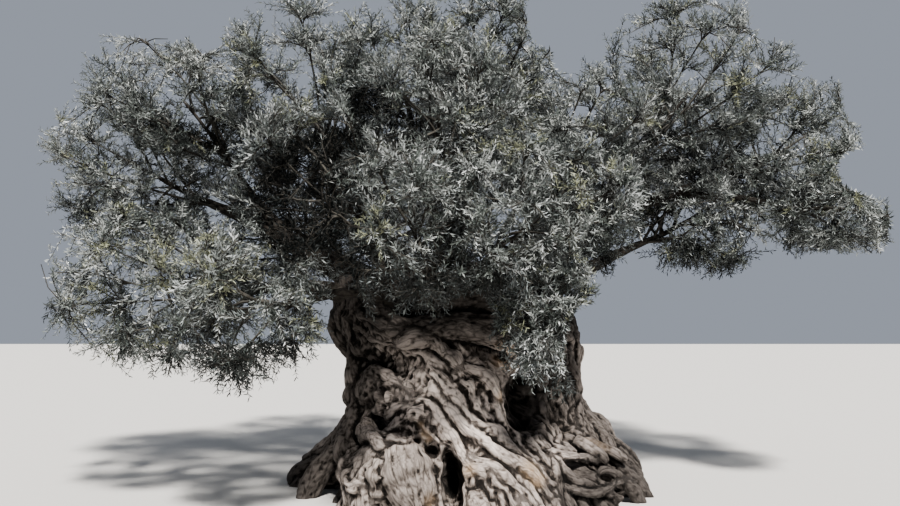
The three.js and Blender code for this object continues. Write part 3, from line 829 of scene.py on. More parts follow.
def keep_on_vertices(mesh, name, values):
    """Stores a number or a place for each vertex, for the materials to read."""
    kind, field = ("FLOAT_VECTOR", "vector") if values.ndim == 2 else ("FLOAT", "value")
    kept = mesh.attributes.new(name, kind, "POINT")
    kept.data.foreach_set(field, values.astype(np.float32).ravel())


def shade_smooth(mesh):
    mesh.polygons.foreach_set("use_smooth", [True] * len(mesh.polygons))


keep_on_vertices(trunk.data, "grain", near_grain)
keep_on_vertices(trunk.data, "crevice", crevice)
keep_on_vertices(trunk.data, "bare", bare)
keep_on_vertices(trunk.data, "painted_shade_and_light", painted_shade_and_light)

thin = trunk.modifiers.new("thin", "DECIMATE")
thin.ratio = TRUNK_TRIANGLES / sum(len(p.vertices) - 2 for p in trunk.data.polygons)
apply_modifiers(trunk)

cut = bmesh.new()
cut.from_mesh(trunk.data)
everything = cut.verts[:] + cut.edges[:] + cut.faces[:]
bmesh.ops.bisect_plane(cut, geom=everything, plane_co=(0, 0, 0), plane_no=(0, 0, 1), clear_inner=True)
bmesh.ops.holes_fill(cut, edges=[e for e in cut.edges if e.is_boundary], sides=0)
cut.to_mesh(trunk.data)
cut.free()
shade_smooth(trunk.data)


def link_up(tree, *links):
    """Makes links, each told as a node, its output, the next node and its input."""
    for source, output, target, entry in links:
        tree.links.new(source.outputs[output], target.inputs[entry])


def node(tree, kind, **values):
    """A shader node with its settings, and its unlinked inputs by name or number."""
    made = tree.nodes.new(kind)
    inputs = values.pop("inputs", {})
    for key, value in values.items():
        setattr(made, key, value)
    for key, value in inputs.items():
        made.inputs[key].default_value = value
    return made


def colour_steps(tree, steps):
    """A colour ramp with its places and colours."""
    ramp = tree.nodes.new("ShaderNodeValToRGB")
    while len(ramp.color_ramp.elements) < len(steps):
        ramp.color_ramp.elements.new(0.5)
    for element, (place, colour) in zip(ramp.color_ramp.elements, steps):
        element.position = place
        element.color = (*colour, 1)
    return ramp


def rescaled(tree, limits, new_limits=(0.0, 1.0)):
    """A value taken from one range to another."""
    values = zip(("From Min", "From Max", "To Min", "To Max"), (*limits, *new_limits))
    return node(tree, "ShaderNodeMapRange", inputs=dict(values))


def multiply_add(tree, factor, added=0.0):
    return node(tree, "ShaderNodeMath", operation="MULTIPLY_ADD", inputs={1: factor, 2: added})


def noise_pattern(tree, scale, detail, **more):
    return node(tree, "ShaderNodeTexNoise", inputs={"Scale": scale, "Detail": detail, **more})


# A colour mix's sockets: the share of the second colour, both colours, and the mixed colour.
MIX_SHARE, MIX_FIRST, MIX_SECOND, MIXED = 0, 6, 7, 2


def colour_mix(tree):
    return node(tree, "ShaderNodeMix", data_type="RGBA")


# Old bark: grey ridges drawn out along the grain, with fine cracks, pits and near-black valleys, and pale
# tan wood where the bark has gone. The valleys are darker partly by the bark's own pattern and partly by
# painted shade in the hollows of the skin, and bulges are paler by painted light.
GRAIN_STRETCH = (1, 1, 0.42)
CRACK_SCALE = 15.0
PIT_SCALE = 13.0
CRACK_RISE = 0.26
PIT_RISE = 0.32
STREAK_RISE = 1.1
BARK_SHINE = 0.2
BARK_ROUGHNESS = (0.97, 0.8)
BARK_INPUTS = {
    "Grain": "NodeSocketVector",
    "Crevice": "NodeSocketFloat",
    "Ridge Color": "NodeSocketColor",
    "Bark Color": "NodeSocketColor",
    "Valley Color": "NodeSocketColor",
}
BARK_OUTPUTS = {"Color": "NodeSocketColor", "Roughness": "NodeSocketFloat", "Height": "NodeSocketFloat"}


def bark_height(group, given):
    """The height of the bark, from its grain, with the slow drift and the streaks in it."""
    drawn_out = node(group, "ShaderNodeMapping", inputs={"Scale": GRAIN_STRETCH})
    drift = noise_pattern(group, 5.0, 3.0, Roughness=0.6)
    streaks = noise_pattern(group, 26.0, 8.0, Roughness=0.78, Distortion=1.2)
    cracks = node(group, "ShaderNodeTexVoronoi", feature="DISTANCE_TO_EDGE", inputs={"Scale": CRACK_SCALE})
    pits = node(group, "ShaderNodeTexVoronoi", inputs={"Scale": PIT_SCALE})
    crack_line = rescaled(group, (0.0, 0.18))
    pit_mask = rescaled(group, (0.1, 0.45))
    cracked = multiply_add(group, CRACK_RISE)
    pitted = multiply_add(group, PIT_RISE)
    height = multiply_add(group, STREAK_RISE)
    link_up(
        group,
        (given, "Grain", drawn_out, "Vector"),
        (drawn_out, "Vector", drift, "Vector"),
        (drawn_out, "Vector", streaks, "Vector"),
        (drawn_out, "Vector", cracks, "Vector"),
        (given, "Grain", pits, "Vector"),
        (cracks, "Distance", crack_line, "Value"),
        (pits, "Distance", pit_mask, "Value"),
        (crack_line, "Result", cracked, 0),
        (pit_mask, "Result", pitted, 0),
        (cracked, 0, pitted, 2),
        (streaks, "Fac", height, 0),
        (pitted, 0, height, 2),
    )
    return height, drift, streaks


def bark_colour(group, given, height, drift):
    """The bark's colour by how light it is: its height and its drift, less the depth of the valley, which
    paints shade into the hollows.
    """
    rise = multiply_add(group, 1.3, -0.98)
    drifted = multiply_add(group, 0.45)
    tone = multiply_add(group, -0.42)
    ridge_share = rescaled(group, (0.3, 0.85))
    valley_share = rescaled(group, (0.02, 0.34))
    lit = colour_mix(group)
    sunk = colour_mix(group)
    link_up(
        group,
        (height, 0, rise, 0),
        (drift, "Fac", drifted, 0),
        (rise, 0, drifted, 2),
        (given, "Crevice", tone, 0),
        (drifted, 0, tone, 2),
        (tone, 0, ridge_share, "Value"),
        (tone, 0, valley_share, "Value"),
        (ridge_share, "Result", lit, MIX_SHARE),
        (given, "Bark Color", lit, MIX_FIRST),
        (given, "Ridge Color", lit, MIX_SECOND),
        (valley_share, "Result", sunk, MIX_SHARE),
        (given, "Valley Color", sunk, MIX_FIRST),
        (lit, MIXED, sunk, MIX_SECOND),
    )
    return sunk


def old_bark_group():
    group = bpy.data.node_groups.new("old_bark", "ShaderNodeTree")
    for way, sockets in (("INPUT", BARK_INPUTS), ("OUTPUT", BARK_OUTPUTS)):
        for name, kind in sockets.items():
            group.interface.new_socket(name, in_out=way, socket_type=kind)
    given = node(group, "NodeGroupInput")
    put = node(group, "NodeGroupOutput")
    height, drift, streaks = bark_height(group, given)
    colour = bark_colour(group, given, height, drift)
    rough = rescaled(group, (0.0, 1.0), BARK_ROUGHNESS)
    link_up(
        group,
        (height, 0, put, "Height"),
        (colour, MIXED, put, "Color"),
        (streaks, "Fac", rough, "Value"),
        (rough, "Result", put, "Roughness"),
    )
    return group


old_bark = old_bark_group()


def bark_material(name, ridge, plain, valley, bump):
    """A material of old bark in its own colours, its nodes, and the bark's node to add more to."""
    material, tree, surface = new_material(name)
    surface.inputs["Specular IOR Level"].default_value = BARK_SHINE
    grain = node(tree, "ShaderNodeAttribute", attribute_name="grain")
    crevice = node(tree, "ShaderNodeAttribute", attribute_name="crevice")
    bark = node(tree, "ShaderNodeGroup", node_tree=old_bark)
    for socket, colour in (("Ridge Color", ridge), ("Bark Color", plain), ("Valley Color", valley)):
        bark.inputs[socket].default_value = (*colour, 1)
    raised = node(tree, "ShaderNodeBump", inputs={"Strength": 1.0, "Distance": bump})
    link_up(
        tree,
        (grain, "Vector", bark, "Grain"),
        (crevice, "Fac", bark, "Crevice"),
        (bark, "Color", surface, "Base Color"),
        (bark, "Roughness", surface, "Roughness"),
        (bark, "Height", raised, "Height"),
        (raised, "Normal", surface, "Normal"),
    )
    return material, tree, bark


RIDGE_GREY = (0.64, 0.565, 0.515)
BARK_GREY = (0.215, 0.182, 0.159)
VALLEY_BLACK = (0.034, 0.028, 0.024)
BARE_TAN = (0.6, 0.44, 0.3)
MOST_BARE = 0.6
# How far painted shade darkens the bark's colour, and how far painted sunlight makes it paler.
SHADED_TONE = 0.2
PAINTED_SUNLIGHT_TONE = 1.6
TRUNK_BUMP = 0.05
trunk_bark, tree, bark = bark_material("trunk_bark", RIDGE_GREY, BARK_GREY, VALLEY_BLACK, TRUNK_BUMP)
bare_mask = node(tree, "ShaderNodeAttribute", attribute_name="bare")
bare_edge = rescaled(tree, (0.2, 0.9), (0.0, MOST_BARE))
bared = colour_mix(tree)
bared.inputs[MIX_SECOND].default_value = (*BARE_TAN, 1)
# The bark's colour is darkened by painted shade and made paler by painted sunlight.
shade_mask = node(tree, "ShaderNodeAttribute", attribute_name="painted_shade_and_light")
painted_light_and_shade_tone = rescaled(tree, (-1.0, 1.0), (PAINTED_SUNLIGHT_TONE, SHADED_TONE))
darkened = node(tree, "ShaderNodeVectorMath", operation="SCALE")
link_up(
    tree,
    (bare_mask, "Fac", bare_edge, "Value"),
    (bare_edge, "Result", bared, MIX_SHARE),
    (bark, "Color", bared, MIX_FIRST),
    (shade_mask, "Fac", painted_light_and_shade_tone, "Value"),
    (bared, MIXED, darkened, 0),
    (painted_light_and_shade_tone, "Result", darkened, "Scale"),
    (darkened, 0, tree.nodes["Principled BSDF"], "Base Color"),
)
trunk.data.materials.clear()
trunk.data.materials.append(trunk_bark)
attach(trunk, "root")
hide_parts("trunk")


# The boughs: each is one tapering limb that leaves the head, or a stouter bough, and goes on into the
# middle of its mass of foliage. Their bark is finer than the trunk's and darkened to near black as painted
# shade of the crown.
BOUGH_END = 0.72
BOUGH_KNEE = 0.45
BOUGH_RINGS = 46
BOUGH_SIDES = 22
STEM_RINGS = 14
STEM_LEAD = 0.15
TWIG_RADIUS = 0.02
BOUGH_TIP_SHARE = 0.62
HEAD_MIDDLE = (-0.18, 0.13)
HEAD_DEPTH_SHARE = 0.8

# The boughs' bark: how far apart their grains lie, its relief beside the trunk's, the radius from which it
# is in full, and its colours, which are darkened as painted shade.
BOUGH_GRAIN_APART = 5.3
BOUGH_RELIEF = 0.5
STOUT_RADIUS = 0.16
BOUGH_CREVICE = 0.02
SHADED_BOUGH_RIDGE = (0.058, 0.052, 0.045)
SHADED_BOUGH_BROWN = (0.022, 0.019, 0.017)
SHADED_BOUGH_VALLEY = (0.006, 0.005, 0.005)
BOUGH_BUMP = 0.012


def head(degrees, reach, height):
    """A place in the trunk's head, at a bearing and a distance from its middle."""
    angle = math.radians(degrees)
    x, y = HEAD_MIDDLE
    return (x + reach * math.cos(angle), y + reach * HEAD_DEPTH_SHARE * math.sin(angle), height)


# Each mass of foliage: its middle and half sizes, where its bough starts (a place in the head, or
# another bough and the share of its length), the bough's radii at both ends, and its arch.
CROWN = {
    "far_left": ((-4.6, 0.3, 4.23), (1.34, 1.25, 1.15), head(184, 1.0, 2.45), (0.235, 0.075), 0.04),
    "upper_left": ((-3.9, 0, 5.08), (1.35, 1.3, 1.26), ("far_left", 0.5), (0.12, 0.055), -0.1),
    "left_low": ((-3.9, -0.7, 2.54), (1.45, 1.2, 1.08), head(196, 1.15, 2.25), (0.165, 0.065), 0.22),
    "left_front": ((-2.42, -1.75, 2.3), (0.9, 0.9, 0.96), head(228, 1.05, 2.25), (0.12, 0.05), 0.24),
    "top_left": ((-2.3, 0, 5.15), (1.45, 1.35, 1.38), head(176, 0.62, 2.62), (0.22, 0.08), -0.05),
    "inner_left": ((-2.8, 0.8, 3.6), (1.4, 1.35, 1.2), head(150, 0.9, 2.42), (0.17, 0.07), 0.08),
    "top": ((-0.95, 0.42, 5.48), (1.25, 1.25, 1.32), head(110, 0.25, 2.7), (0.24, 0.085), -0.04),
    "top_centre": ((0.23, -0.25, 5.46), (1.18, 1.15, 1.27), ("top", 0.38), (0.13, 0.06), -0.12),
    "front": ((-0.7, -2.13, 3.12), (1.03, 0.98, 1.02), head(255, 0.8, 2.5), (0.15, 0.06), 0.16),
    "front_right": ((0.33, -1.85, 3.13), (0.98, 0.95, 1.02), head(288, 0.82, 2.48), (0.145, 0.06), 0.16),
    "hanging": ((0.73, -1.75, 2.2), (0.6, 0.56, 1.01), head(320, 0.98, 2.38), (0.11, 0.048), 0.3),
    "front_left": ((-1.72, -1.35, 3.72), (1.1, 1.1, 1.1), head(236, 0.76, 2.52), (0.14, 0.06), 0.1),
    "front_top": ((-0.4, -1.45, 4.43), (1.15, 1.0, 1.08), head(262, 0.42, 2.65), (0.15, 0.065), -0.04),
    "front_side": ((1.28, -1.15, 3.45), (0.72, 0.88, 0.88), head(318, 0.76, 2.48), (0.11, 0.052), 0.06),
    "mid_right": ((1.4, -0.45, 4.35), (1.18, 1.18, 1.08), head(332, 0.56, 2.62), (0.19, 0.08), -0.04),
    "upper_right": ((3.03, 0, 5.23), (1.48, 1.3, 1.37), head(8, 0.88, 2.43), (0.22, 0.075), -0.04),
    "right": ((4.35, 0.2, 4.4), (1.23, 1.15, 1.15), ("upper_right", 0.45), (0.13, 0.058), 0.06),
    "right_low": ((4.6, -0.6, 3.5), (0.88, 0.85, 0.7), ("right", 0.55), (0.075, 0.038), 0.12),
    "right_under": ((3.2, 0.2, 3.6), (1.08, 1.0, 0.88), head(18, 1.05, 2.25), (0.15, 0.06), 0.1),
    "back_left": ((-2.7, 2.7, 4.4), (1.55, 1.4, 1.25), head(128, 0.9, 2.35), (0.22, 0.08), 0.06),
    "back": ((-0.35, 3.25, 4.5), (1.5, 1.35, 1.25), head(95, 0.9, 2.35), (0.22, 0.08), 0.06),
    "back_top": ((0.2, 1.65, 5.4), (1.35, 1.25, 1.12), ("back", 0.35), (0.15, 0.062), -0.1),
    "back_right": ((1.85, 2.6, 4.5), (1.4, 1.35, 1.2), head(58, 0.9, 2.3), (0.2, 0.075), 0.06),
    "right_back": ((3.4, 1.85, 4.95), (1.2, 1.15, 1.05), ("back_right", 0.5), (0.11, 0.052), 0.04),
}
MIDDLES = np.array([one[0] for one in CROWN.values()], float)
SIZES = np.array([one[1] for one in CROWN.values()], float)


def bend(start, knee, end, steps):
    """A line that leaves its start towards the knee and comes to its end from there."""
    t = np.linspace(0, 1, steps + 1)[:, None]
    return (1 - t) ** 2 * start + 2 * t * (1 - t) * knee + t * t * end


bough_lines = {}
for name, (middle, size, root, girth, arch) in CROWN.items():
    middle = np.array(middle, float)
    if isinstance(root[0], str):
        carrier = bough_lines[root[0]]
        start = carrier[round(root[1] * BOUGH_RINGS)]
    else:
        start = np.array(root, float)
    far = np.linalg.norm((start - middle) / np.array(size))
    tip = mix(middle, start, BOUGH_END / far)
    knee = mix(start, tip, BOUGH_KNEE)
    knee[2] += arch * np.linalg.norm(tip - start)
    bough_lines[name] = bend(start, knee, tip, BOUGH_RINGS)


def bough_limb(name):
    """A bough and its stem to the middle of the mass, thicker where it leaves its carrier."""
    middle, _, root, girth, _ = CROWN[name]
    line = bough_lines[name]
    tip = line[-1]
    onward = tip + unit(line[-1] - line[-2]) * STEM_LEAD
    whole = np.vstack([line, bend(tip, onward, np.array(middle, float), STEM_RINGS)[1:]])
    bough_share = BOUGH_RINGS / (len(whole) - 1)

    def radius(t, angle):
        on_bough = np.minimum(t / bough_share, 1)
        on_stem = np.maximum((t - bough_share) / (1 - bough_share), 0)
        knots = 1 + 0.07 * np.sin(3 * angle + 9 * on_bough) * (1 - on_bough)
        collar = 1 + 0.35 * np.exp(-on_bough * 12)
        thickness = mix(girth[0], girth[1] * BOUGH_TIP_SHARE, on_bough ** 0.8) * knots * collar
        return mix(thickness, TWIG_RADIUS, on_stem)

    return Limb(whole, radius)


bough_shape = bmesh.new()
bough_grain = []
bough_relief = []
for number, name in enumerate(CROWN):
    limb = bough_limb(name)
    corners = limb.add_to(bough_shape, BOUGH_SIDES)
    _, grain = limb.nearness(np.array([v.co for v in corners]))
    stoutness = np.minimum(np.linalg.norm(grain[:, :2], axis=1) / STOUT_RADIUS, 1)
    grain = grain + BOUGH_GRAIN_APART * number
    bough_grain.append(grain)
    bough_relief.append(bark_relief(grain) * BOUGH_RELIEF * stoutness)
boughs = piece_from("boughs", bough_shape)
bough_relief = np.concatenate(bough_relief)
bough_skin = vertex_places(boughs.data) + vertex_normals(boughs.data) * bough_relief[:, None]
move_vertices(boughs.data, bough_skin)
keep_on_vertices(boughs.data, "grain", np.concatenate(bough_grain))
# Sunk bark is darkened in colour by painted shade.
keep_on_vertices(boughs.data, "crevice", np.clip(-bough_relief / BOUGH_CREVICE, -1, 1))
shade_smooth(boughs.data)

bough_bark, _, _ = bark_material("bough_bark", SHADED_BOUGH_RIDGE, SHADED_BOUGH_BROWN, SHADED_BOUGH_VALLEY, BOUGH_BUMP)
boughs.data.materials.append(bough_bark)
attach(boughs, "root")
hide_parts(*[f"bough_{name}" for name in CROWN])


# The twigs: branches go from each stem to all sides of its mass, twigs from them to the mass's
# skin, and thin shoots from the twigs. They are one joined mesh of three-sided tapering rods.
GOLDEN_TURN = math.pi * (3 - math.sqrt(5))
BRANCHES = 13
TWIGS = 77
FULLER_TWIGS = 100
SHOOTS = 13
BRANCH_STEPS = 4
TWIG_STEPS = 3
BRANCH_RADII = (0.024, 0.01)
TWIG_RADII = (0.011, 0.005)
SHOOT_RADII = (0.0042, 0.0018)

# The branches: how far out they end, as a share of the way to the mass's edge, at the crown's
# outside and elsewhere, how they bend, and how many rings before its bough's end their stem starts.
OUTER_BRANCH = 0.66
INNER_BRANCH = 0.8
BRANCH_KNEE = 0.45
BRANCH_SWAY = 0.15
STEM_START = 6

# The twigs: how far out every third one and the others end, how loosely they are spread, how
# readily they leave from a fork that is further in, and how far they first follow its branch.
SHORT_TWIG = 0.62
LONG_TWIG = 0.86
TWIG_SPREAD = 0.05
TWIG_SWAY = 0.09
TWIG_ROOM = 0.05
INNER_FORKS_FIRST = 0.6
TWIG_FOLLOWS = 0.45

# The shoots: where on its twig the first stands, in a fuller mass and elsewhere, what draws them,
# their lengths, the shortest that is kept, and how far a long one's tip sags.
FIRST_SHOOT_FULLER = 0.25
FIRST_SHOOT = 0.4
ALONG_TWIG = 0.5
OUT_OF_MASS = 0.4
LIFT = 0.6
SHOOT_LENGTHS = (0.2, 0.46)
SHORTEST_SHOOT = 0.08
LONG_SHOOT = 0.4
SAG = np.array([0, 0, 0.06])
ROOM_AT_EDGE = 0.02
DEEP_INSIDE = 0.55
# The way towards the light, by which sprays get their painted light and shade tints.
TOWARDS_LIGHT = np.array([0.15, -0.45, 0.88])
DROOPING = ("hanging", "left_front", "left_low", "right_low", "right_under", "front", "front_right")
FULLER = (
    "far_left", "upper_left", "left_low", "top_left", "top", "top_centre", "upper_right", "right",
    "right_low", "right_under", "back_left", "back", "back_top", "back_right", "right_back",
)

# The space of a mass: the steps in which its edge is looked for, how far it may reach into its
# neighbours, and from where on it counts as the crown's outside.
REACH_STEP = 0.025
REACH_STEPS = 71
INTO_NEIGHBOURS = 0.12
AT_OUTSIDE = 0.94

# Openings between the sprays, as seen from the camera: middle and half size in the picture, and the depth
# behind which the foliage goes on. Those with a depth are hollows, thinned in front, whose sprays behind
# are given near-black tints as painted shade. The others are open right through, wholly or like lace, and
# branches and twigs are shortened out of the first kind.
THROUGH = 9.0
LACE = 8.0
CLEARED = {THROUGH: 1.0, LACE: 0.66}
HOLLOW_CLEARED = 0.55
HOLLOW_SKIN = 0.74
HOLLOW_SHADE_WIDTH = 1.12
HOLLOW_SHADE_DEPTH = 2.2
DARKEST = -2
SHORTENINGS = 9
SHORTENING = 0.12
TWIG_SHORTENING = 0.09
OPENINGS = [
    ((296, 190), (44, 52), 0.1), ((338, 132), (20, 17), 0.1), ((366, 97), (13, 16), 0.1),
    ((388, 124), (9, 9), 0), ((410, 119), (9, 8), 0), ((296, 240), (22, 16), 0.1),
    ((332, 238), (14, 22), 0.1), ((222, 128), (13, 8), 0.1), ((351, 274), (11, 22), 0),
    ((201, 131), (9, 9), 0.2), ((187, 269), (9, 8), 0), ((690, 172), (10, 8), 0.1),
    ((650, 212), (9, 7), 0), ((470, 316), (22, 26), THROUGH), ((590, 346), (26, 46), THROUGH),
    ((523, 412), (34, 24), THROUGH), ((402, 326), (36, 14), THROUGH), ((488, 372), (15, 36), THROUGH),
    ((346, 306), (14, 22), THROUGH), ((622, 189), (7, 7), LACE), ((681, 185), (16, 11), LACE),
    ((657, 233), (21, 18), LACE), ((752, 231), (16, 19), LACE), ((706, 117), (13, 7), LACE),
    ((778, 130), (7, 10), LACE), ((610, 80), (6, 7), THROUGH), ((198, 168), (7, 5), LACE),
    ((565, 58), (14, 12), THROUGH), ((22, 300), (22, 70), THROUGH), ((846, 270), (90, 20), THROUGH),
    ((908, 205), (20, 50), THROUGH), ((894, 252), (13, 12), THROUGH), ((872, 170), (36, 26), THROUGH),
    ((866, 98), (24, 26), THROUGH), ((884, 132), (24, 18), THROUGH), ((150, 0), (64, 38), THROUGH),
    ((205, 20), (18, 34), THROUGH), ((556, 14), (32, 32), THROUGH), ((782, 6), (34, 32), THROUGH),
]

# Painted light and painted shade: where sprays get paler or darker tints than their own mass gives them, as
# seen from the camera: middle, half size and change, for those in front of a depth.
LIGHTER_AND_DARKER = [
    ((455, 165), (75, 50), 0.6), ((520, 105), (80, 44), 1.0), ((520, 248), (46, 34), 0.6),
    ((800, 185), (48, 52), 0.6), ((532, 366), (36, 30), 1.2), ((270, 95), (50, 30), 0.25),
    ((180, 165), (30, 25), 0.25), ((390, 165), (40, 30), 0.4), ((550, 235), (60, 45), 0.3),
    ((440, 292), (58, 24), -0.5), ((420, 235), (50, 34), 0.45), ((225, 140), (36, 30), -0.35),
    ((300, 180), (62, 75), -0.6), ((350, 265), (26, 38), -0.7), ((365, 105), (24, 34), -0.5),
]
CHANGED_IN_FRONT_OF = 1
# Painted shade for sprays deep inside their mass, less in a fuller mass, and painted light for all sprays
# of a fuller mass.
INNER_SHADE_BELOW = 0.6
INNER_SHADE_FULLER = 0.4
INNER_SHADE = 0.8
FULLER_LIGHT = 0.4


def share_of(k, seed):
    return (seed + k * GOLDEN_SHARE) % 1


def even_directions(count, seed):
    """Directions spread evenly over a ball by the golden angle, turned by the mass's own seed."""
    k = np.arange(count)
    up = 1 - (2 * k + 1) / count
    level = np.sqrt(1 - up * up)
    angle = k * GOLDEN_TURN + seed * 2 * math.pi
    return np.stack([level * np.cos(angle), level * np.sin(angle), up], 1)


def spreads(places):
    """How far each place is from the middle of each mass, where 1 is the edge of the mass."""
    return np.linalg.norm((places[:, None, :] - MIDDLES[None]) / SIZES[None], axis=2)


def own_and_others(number, places):
    far = spreads(places)
    own = far[:, number].copy()
    far[:, number] = np.inf
    return own, far.min(1)


def reach(number, directions):
    """How far a mass's space goes from its middle in each direction, and whether it ends outside."""
    steps = np.arange(1, REACH_STEPS + 1) * REACH_STEP
    places = MIDDLES[number] + directions[:, None, :] * steps[None, :, None]
    own, others = own_and_others(number, places.reshape(-1, 3))
    inside = ((own <= 1) & (own < others + INTO_NEIGHBOURS)).reshape(len(directions), -1)
    first_out = np.where(inside.all(1), inside.shape[1] - 1, inside.argmin(1))
    room = steps[first_out]
    edge = MIDDLES[number] + directions * room[:, None]
    return room, own_and_others(number, edge)[0] > AT_OUTSIDE


def in_picture(places):
    """Where places are in the picture, across and down."""
    pitch = CAMERA_PITCH - math.pi / 2
    off = places - np.array(CAMERA_PLACE)
    ahead = off[:, 1] * math.cos(pitch) + off[:, 2] * math.sin(pitch)
    up = off[:, 2] * math.cos(pitch) - off[:, 1] * math.sin(pitch)
    across = PICTURE_WIDTH / 2 + FOCAL_LENGTH * off[:, 0] / ahead
    down = PICTURE_HEIGHT / 2 - FOCAL_LENGTH * up / ahead
    return across, down


def in_openings(places, own):
    """How likely each place is to be left bare by an opening, and whether it is in a hollow's shade.
    own is how far each place is from the middle of its own mass."""
    across, down = in_picture(places)
    chance = np.zeros(len(places))
    shade = np.zeros(len(places), bool)
    for (x, y), (wide, high), behind in OPENINGS:
        apart = np.hypot((across - x) / wide, (down - y) / high)
        if behind in CLEARED:
            chance = np.maximum(chance, CLEARED[behind] * (apart < 1))
        else:
            front = (apart < 1) & (places[:, 1] < behind) & (own > HOLLOW_SKIN)
            chance = np.maximum(chance, HOLLOW_CLEARED * front)
            shade |= (apart < HOLLOW_SHADE_WIDTH) & (places[:, 1] < behind + HOLLOW_SHADE_DEPTH)
    return chance, shade


def spray_light(number, places):
    """How far a mass's sprays stand in the sun, from about -1 to 1."""
    across, down = in_picture(places)
    light = ((places - MIDDLES[number]) / SIZES[number]) @ TOWARDS_LIGHT
    for (x, y), (wide, high), change in LIGHTER_AND_DARKER:
        apart = np.hypot((across - x) / wide, (down - y) / high)
        light += change * (1 - eased(apart, 0.6, 1.3)) * (places[:, 1] < CHANGED_IN_FRONT_OF)
    return light


def fill_mesh(mesh, places, quads):
    """Gives a mesh its vertices and four-sided faces from arrays."""
    mesh.vertices.add(len(places))
    mesh.vertices.foreach_set("co", places.astype(np.float32).ravel())
    mesh.loops.add(quads.size)
    mesh.loops.foreach_set("vertex_index", quads.astype(np.int32).ravel())
    mesh.polygons.add(len(quads))
    mesh.polygons.foreach_set("loop_start", np.arange(0, quads.size, 4, dtype=np.int32))
    mesh.polygons.foreach_set("loop_total", np.full(len(quads), 4, np.int32))
    mesh.update(calc_edges=True)
    mesh.validate()


class Rods:
    """Many tapering three-sided rods, gathered as arrays and made as one mesh."""

    def __init__(self):
        self.places = []
        self.faces = []
        self.count = 0

    def add(self, lines, radii):
        """lines holds a row of places for each rod, and radii are those at both ends."""
        rods, steps, _ = lines.shape
        along = unit(np.gradient(lines, axis=1))
        reference = np.where(np.abs(along[..., 2:3]) < 0.9, [[[0.0, 0, 1]]], [[[1.0, 0, 0]]])
        side = unit(np.cross(along, reference))
        across = np.cross(along, side)
        t = np.linspace(0, 1, steps)[None, :, None]
        radius = radii[0] * (1 - t) + radii[1] * t
        rings = []
        for corner in range(3):
            turn = corner * 2 * math.pi / 3
            rings.append(lines + radius * (side * math.cos(turn) + across * math.sin(turn)))
        ring = np.arange(rods * steps).reshape(rods, steps)[:, :-1].ravel() * 3 + self.count
        for corner in range(3):
            after = (corner + 1) % 3
            quad = [ring + corner, ring + after, ring + 3 + after, ring + 3 + corner]
            self.faces.append(np.stack(quad, 1))
        self.places.append(np.stack(rings, 2).reshape(-1, 3))
        self.count += rods * steps * 3

    def mesh(self, name):
        made = bpy.data.meshes.new(name)
        fill_mesh(made, np.concatenate(self.places), np.concatenate(self.faces))
        return made


def curved(start, towards, end, steps):
    """Curved lines, one a row: each leaves its start towards a place and bends to its end."""
    t = np.linspace(0, 1, steps + 1)[None, :, None]
    return (1 - t) ** 2 * start[:, None] + 2 * t * (1 - t) * towards[:, None] + t * t * end[:, None]


def out_of_openings(starts, bends, ends, steps):
    """Curved lines that are shortened until they leave the openings that are clear right through.
    bends gives the places that they leave towards, from their ends."""
    for _ in range(SHORTENINGS):
        lines = curved(starts, bends(ends), ends, steps)
        chance = in_openings(lines[:, 1:].reshape(-1, 3), 0)[0].reshape(len(ends), -1).max(1)
        ends = mix(ends, starts, np.where(chance == 1, SHORTENING, 0)[:, None])
    return lines


low_corner = np.array(cad_low)
high_corner = np.array(cad_high)


def grow_branches(number, name, seed, random):
    """A mass's branches, from its stem to all sides."""
    stem_line = bough_limb(name).line[BOUGH_RINGS - STEM_START:]
    directions = even_directions(BRANCHES, seed)
    room, outside = reach(number, directions)
    starts = stem_line[(share_of(np.arange(BRANCHES), seed) * (len(stem_line) - 1)).astype(int)]
    share = np.where(outside, OUTER_BRANCH, INNER_BRANCH)
    ends = MIDDLES[number] + directions * (room * share)[:, None]
    sway = random.normal(0, BRANCH_SWAY, ends.shape)
    return out_of_openings(starts, lambda tips: mix(starts, tips, BRANCH_KNEE) + sway, ends, BRANCH_STEPS)


def twig_ends_of(number, count, seed, random):
    """Where a mass's twigs end, clear of the openings, and how far out that first was."""
    ways = even_directions(count, seed + 0.37)
    ways = unit(ways + random.normal(0, TWIG_SWAY, ways.shape))
    room, _ = reach(number, ways)
    share = np.where(np.arange(count) % 3 == 0, SHORT_TWIG, LONG_TWIG)
    out = room * (share + random.uniform(-TWIG_SPREAD, TWIG_SPREAD, count))
    ends = MIDDLES[number] + ways * out[:, None]
    ends = np.clip(ends, low_corner + TWIG_ROOM, high_corner - TWIG_ROOM)
    for _ in range(SHORTENINGS - 1):
        too_far = in_openings(ends, 0)[0] == 1
        ends[too_far] = mix(ends, MIDDLES[number], TWIG_SHORTENING)[too_far]
    return ends, out


def grow_twigs(number, branches, ends, out):
    """A mass's twigs, each from the nearest fork of a branch, and rather from one further in."""
    forks = branches[:, 1:].reshape(-1, 3)
    fork_ways = np.repeat(unit(branches[:, -1] - branches[:, 0]), BRANCH_STEPS, 0)
    apart = np.linalg.norm(ends[:, None] - forks[None], axis=2)
    beyond = np.linalg.norm(forks - MIDDLES[number], axis=1)[None] > out[:, None]
    chosen = (apart + beyond * INNER_FORKS_FIRST).argmin(1)
    starts = forks[chosen]
    leaving = fork_ways[chosen] * TWIG_FOLLOWS

    def bends(tips):
        return starts + leaving * np.linalg.norm(tips - starts, axis=1)[:, None]

    return out_of_openings(starts, bends, ends, TWIG_STEPS)


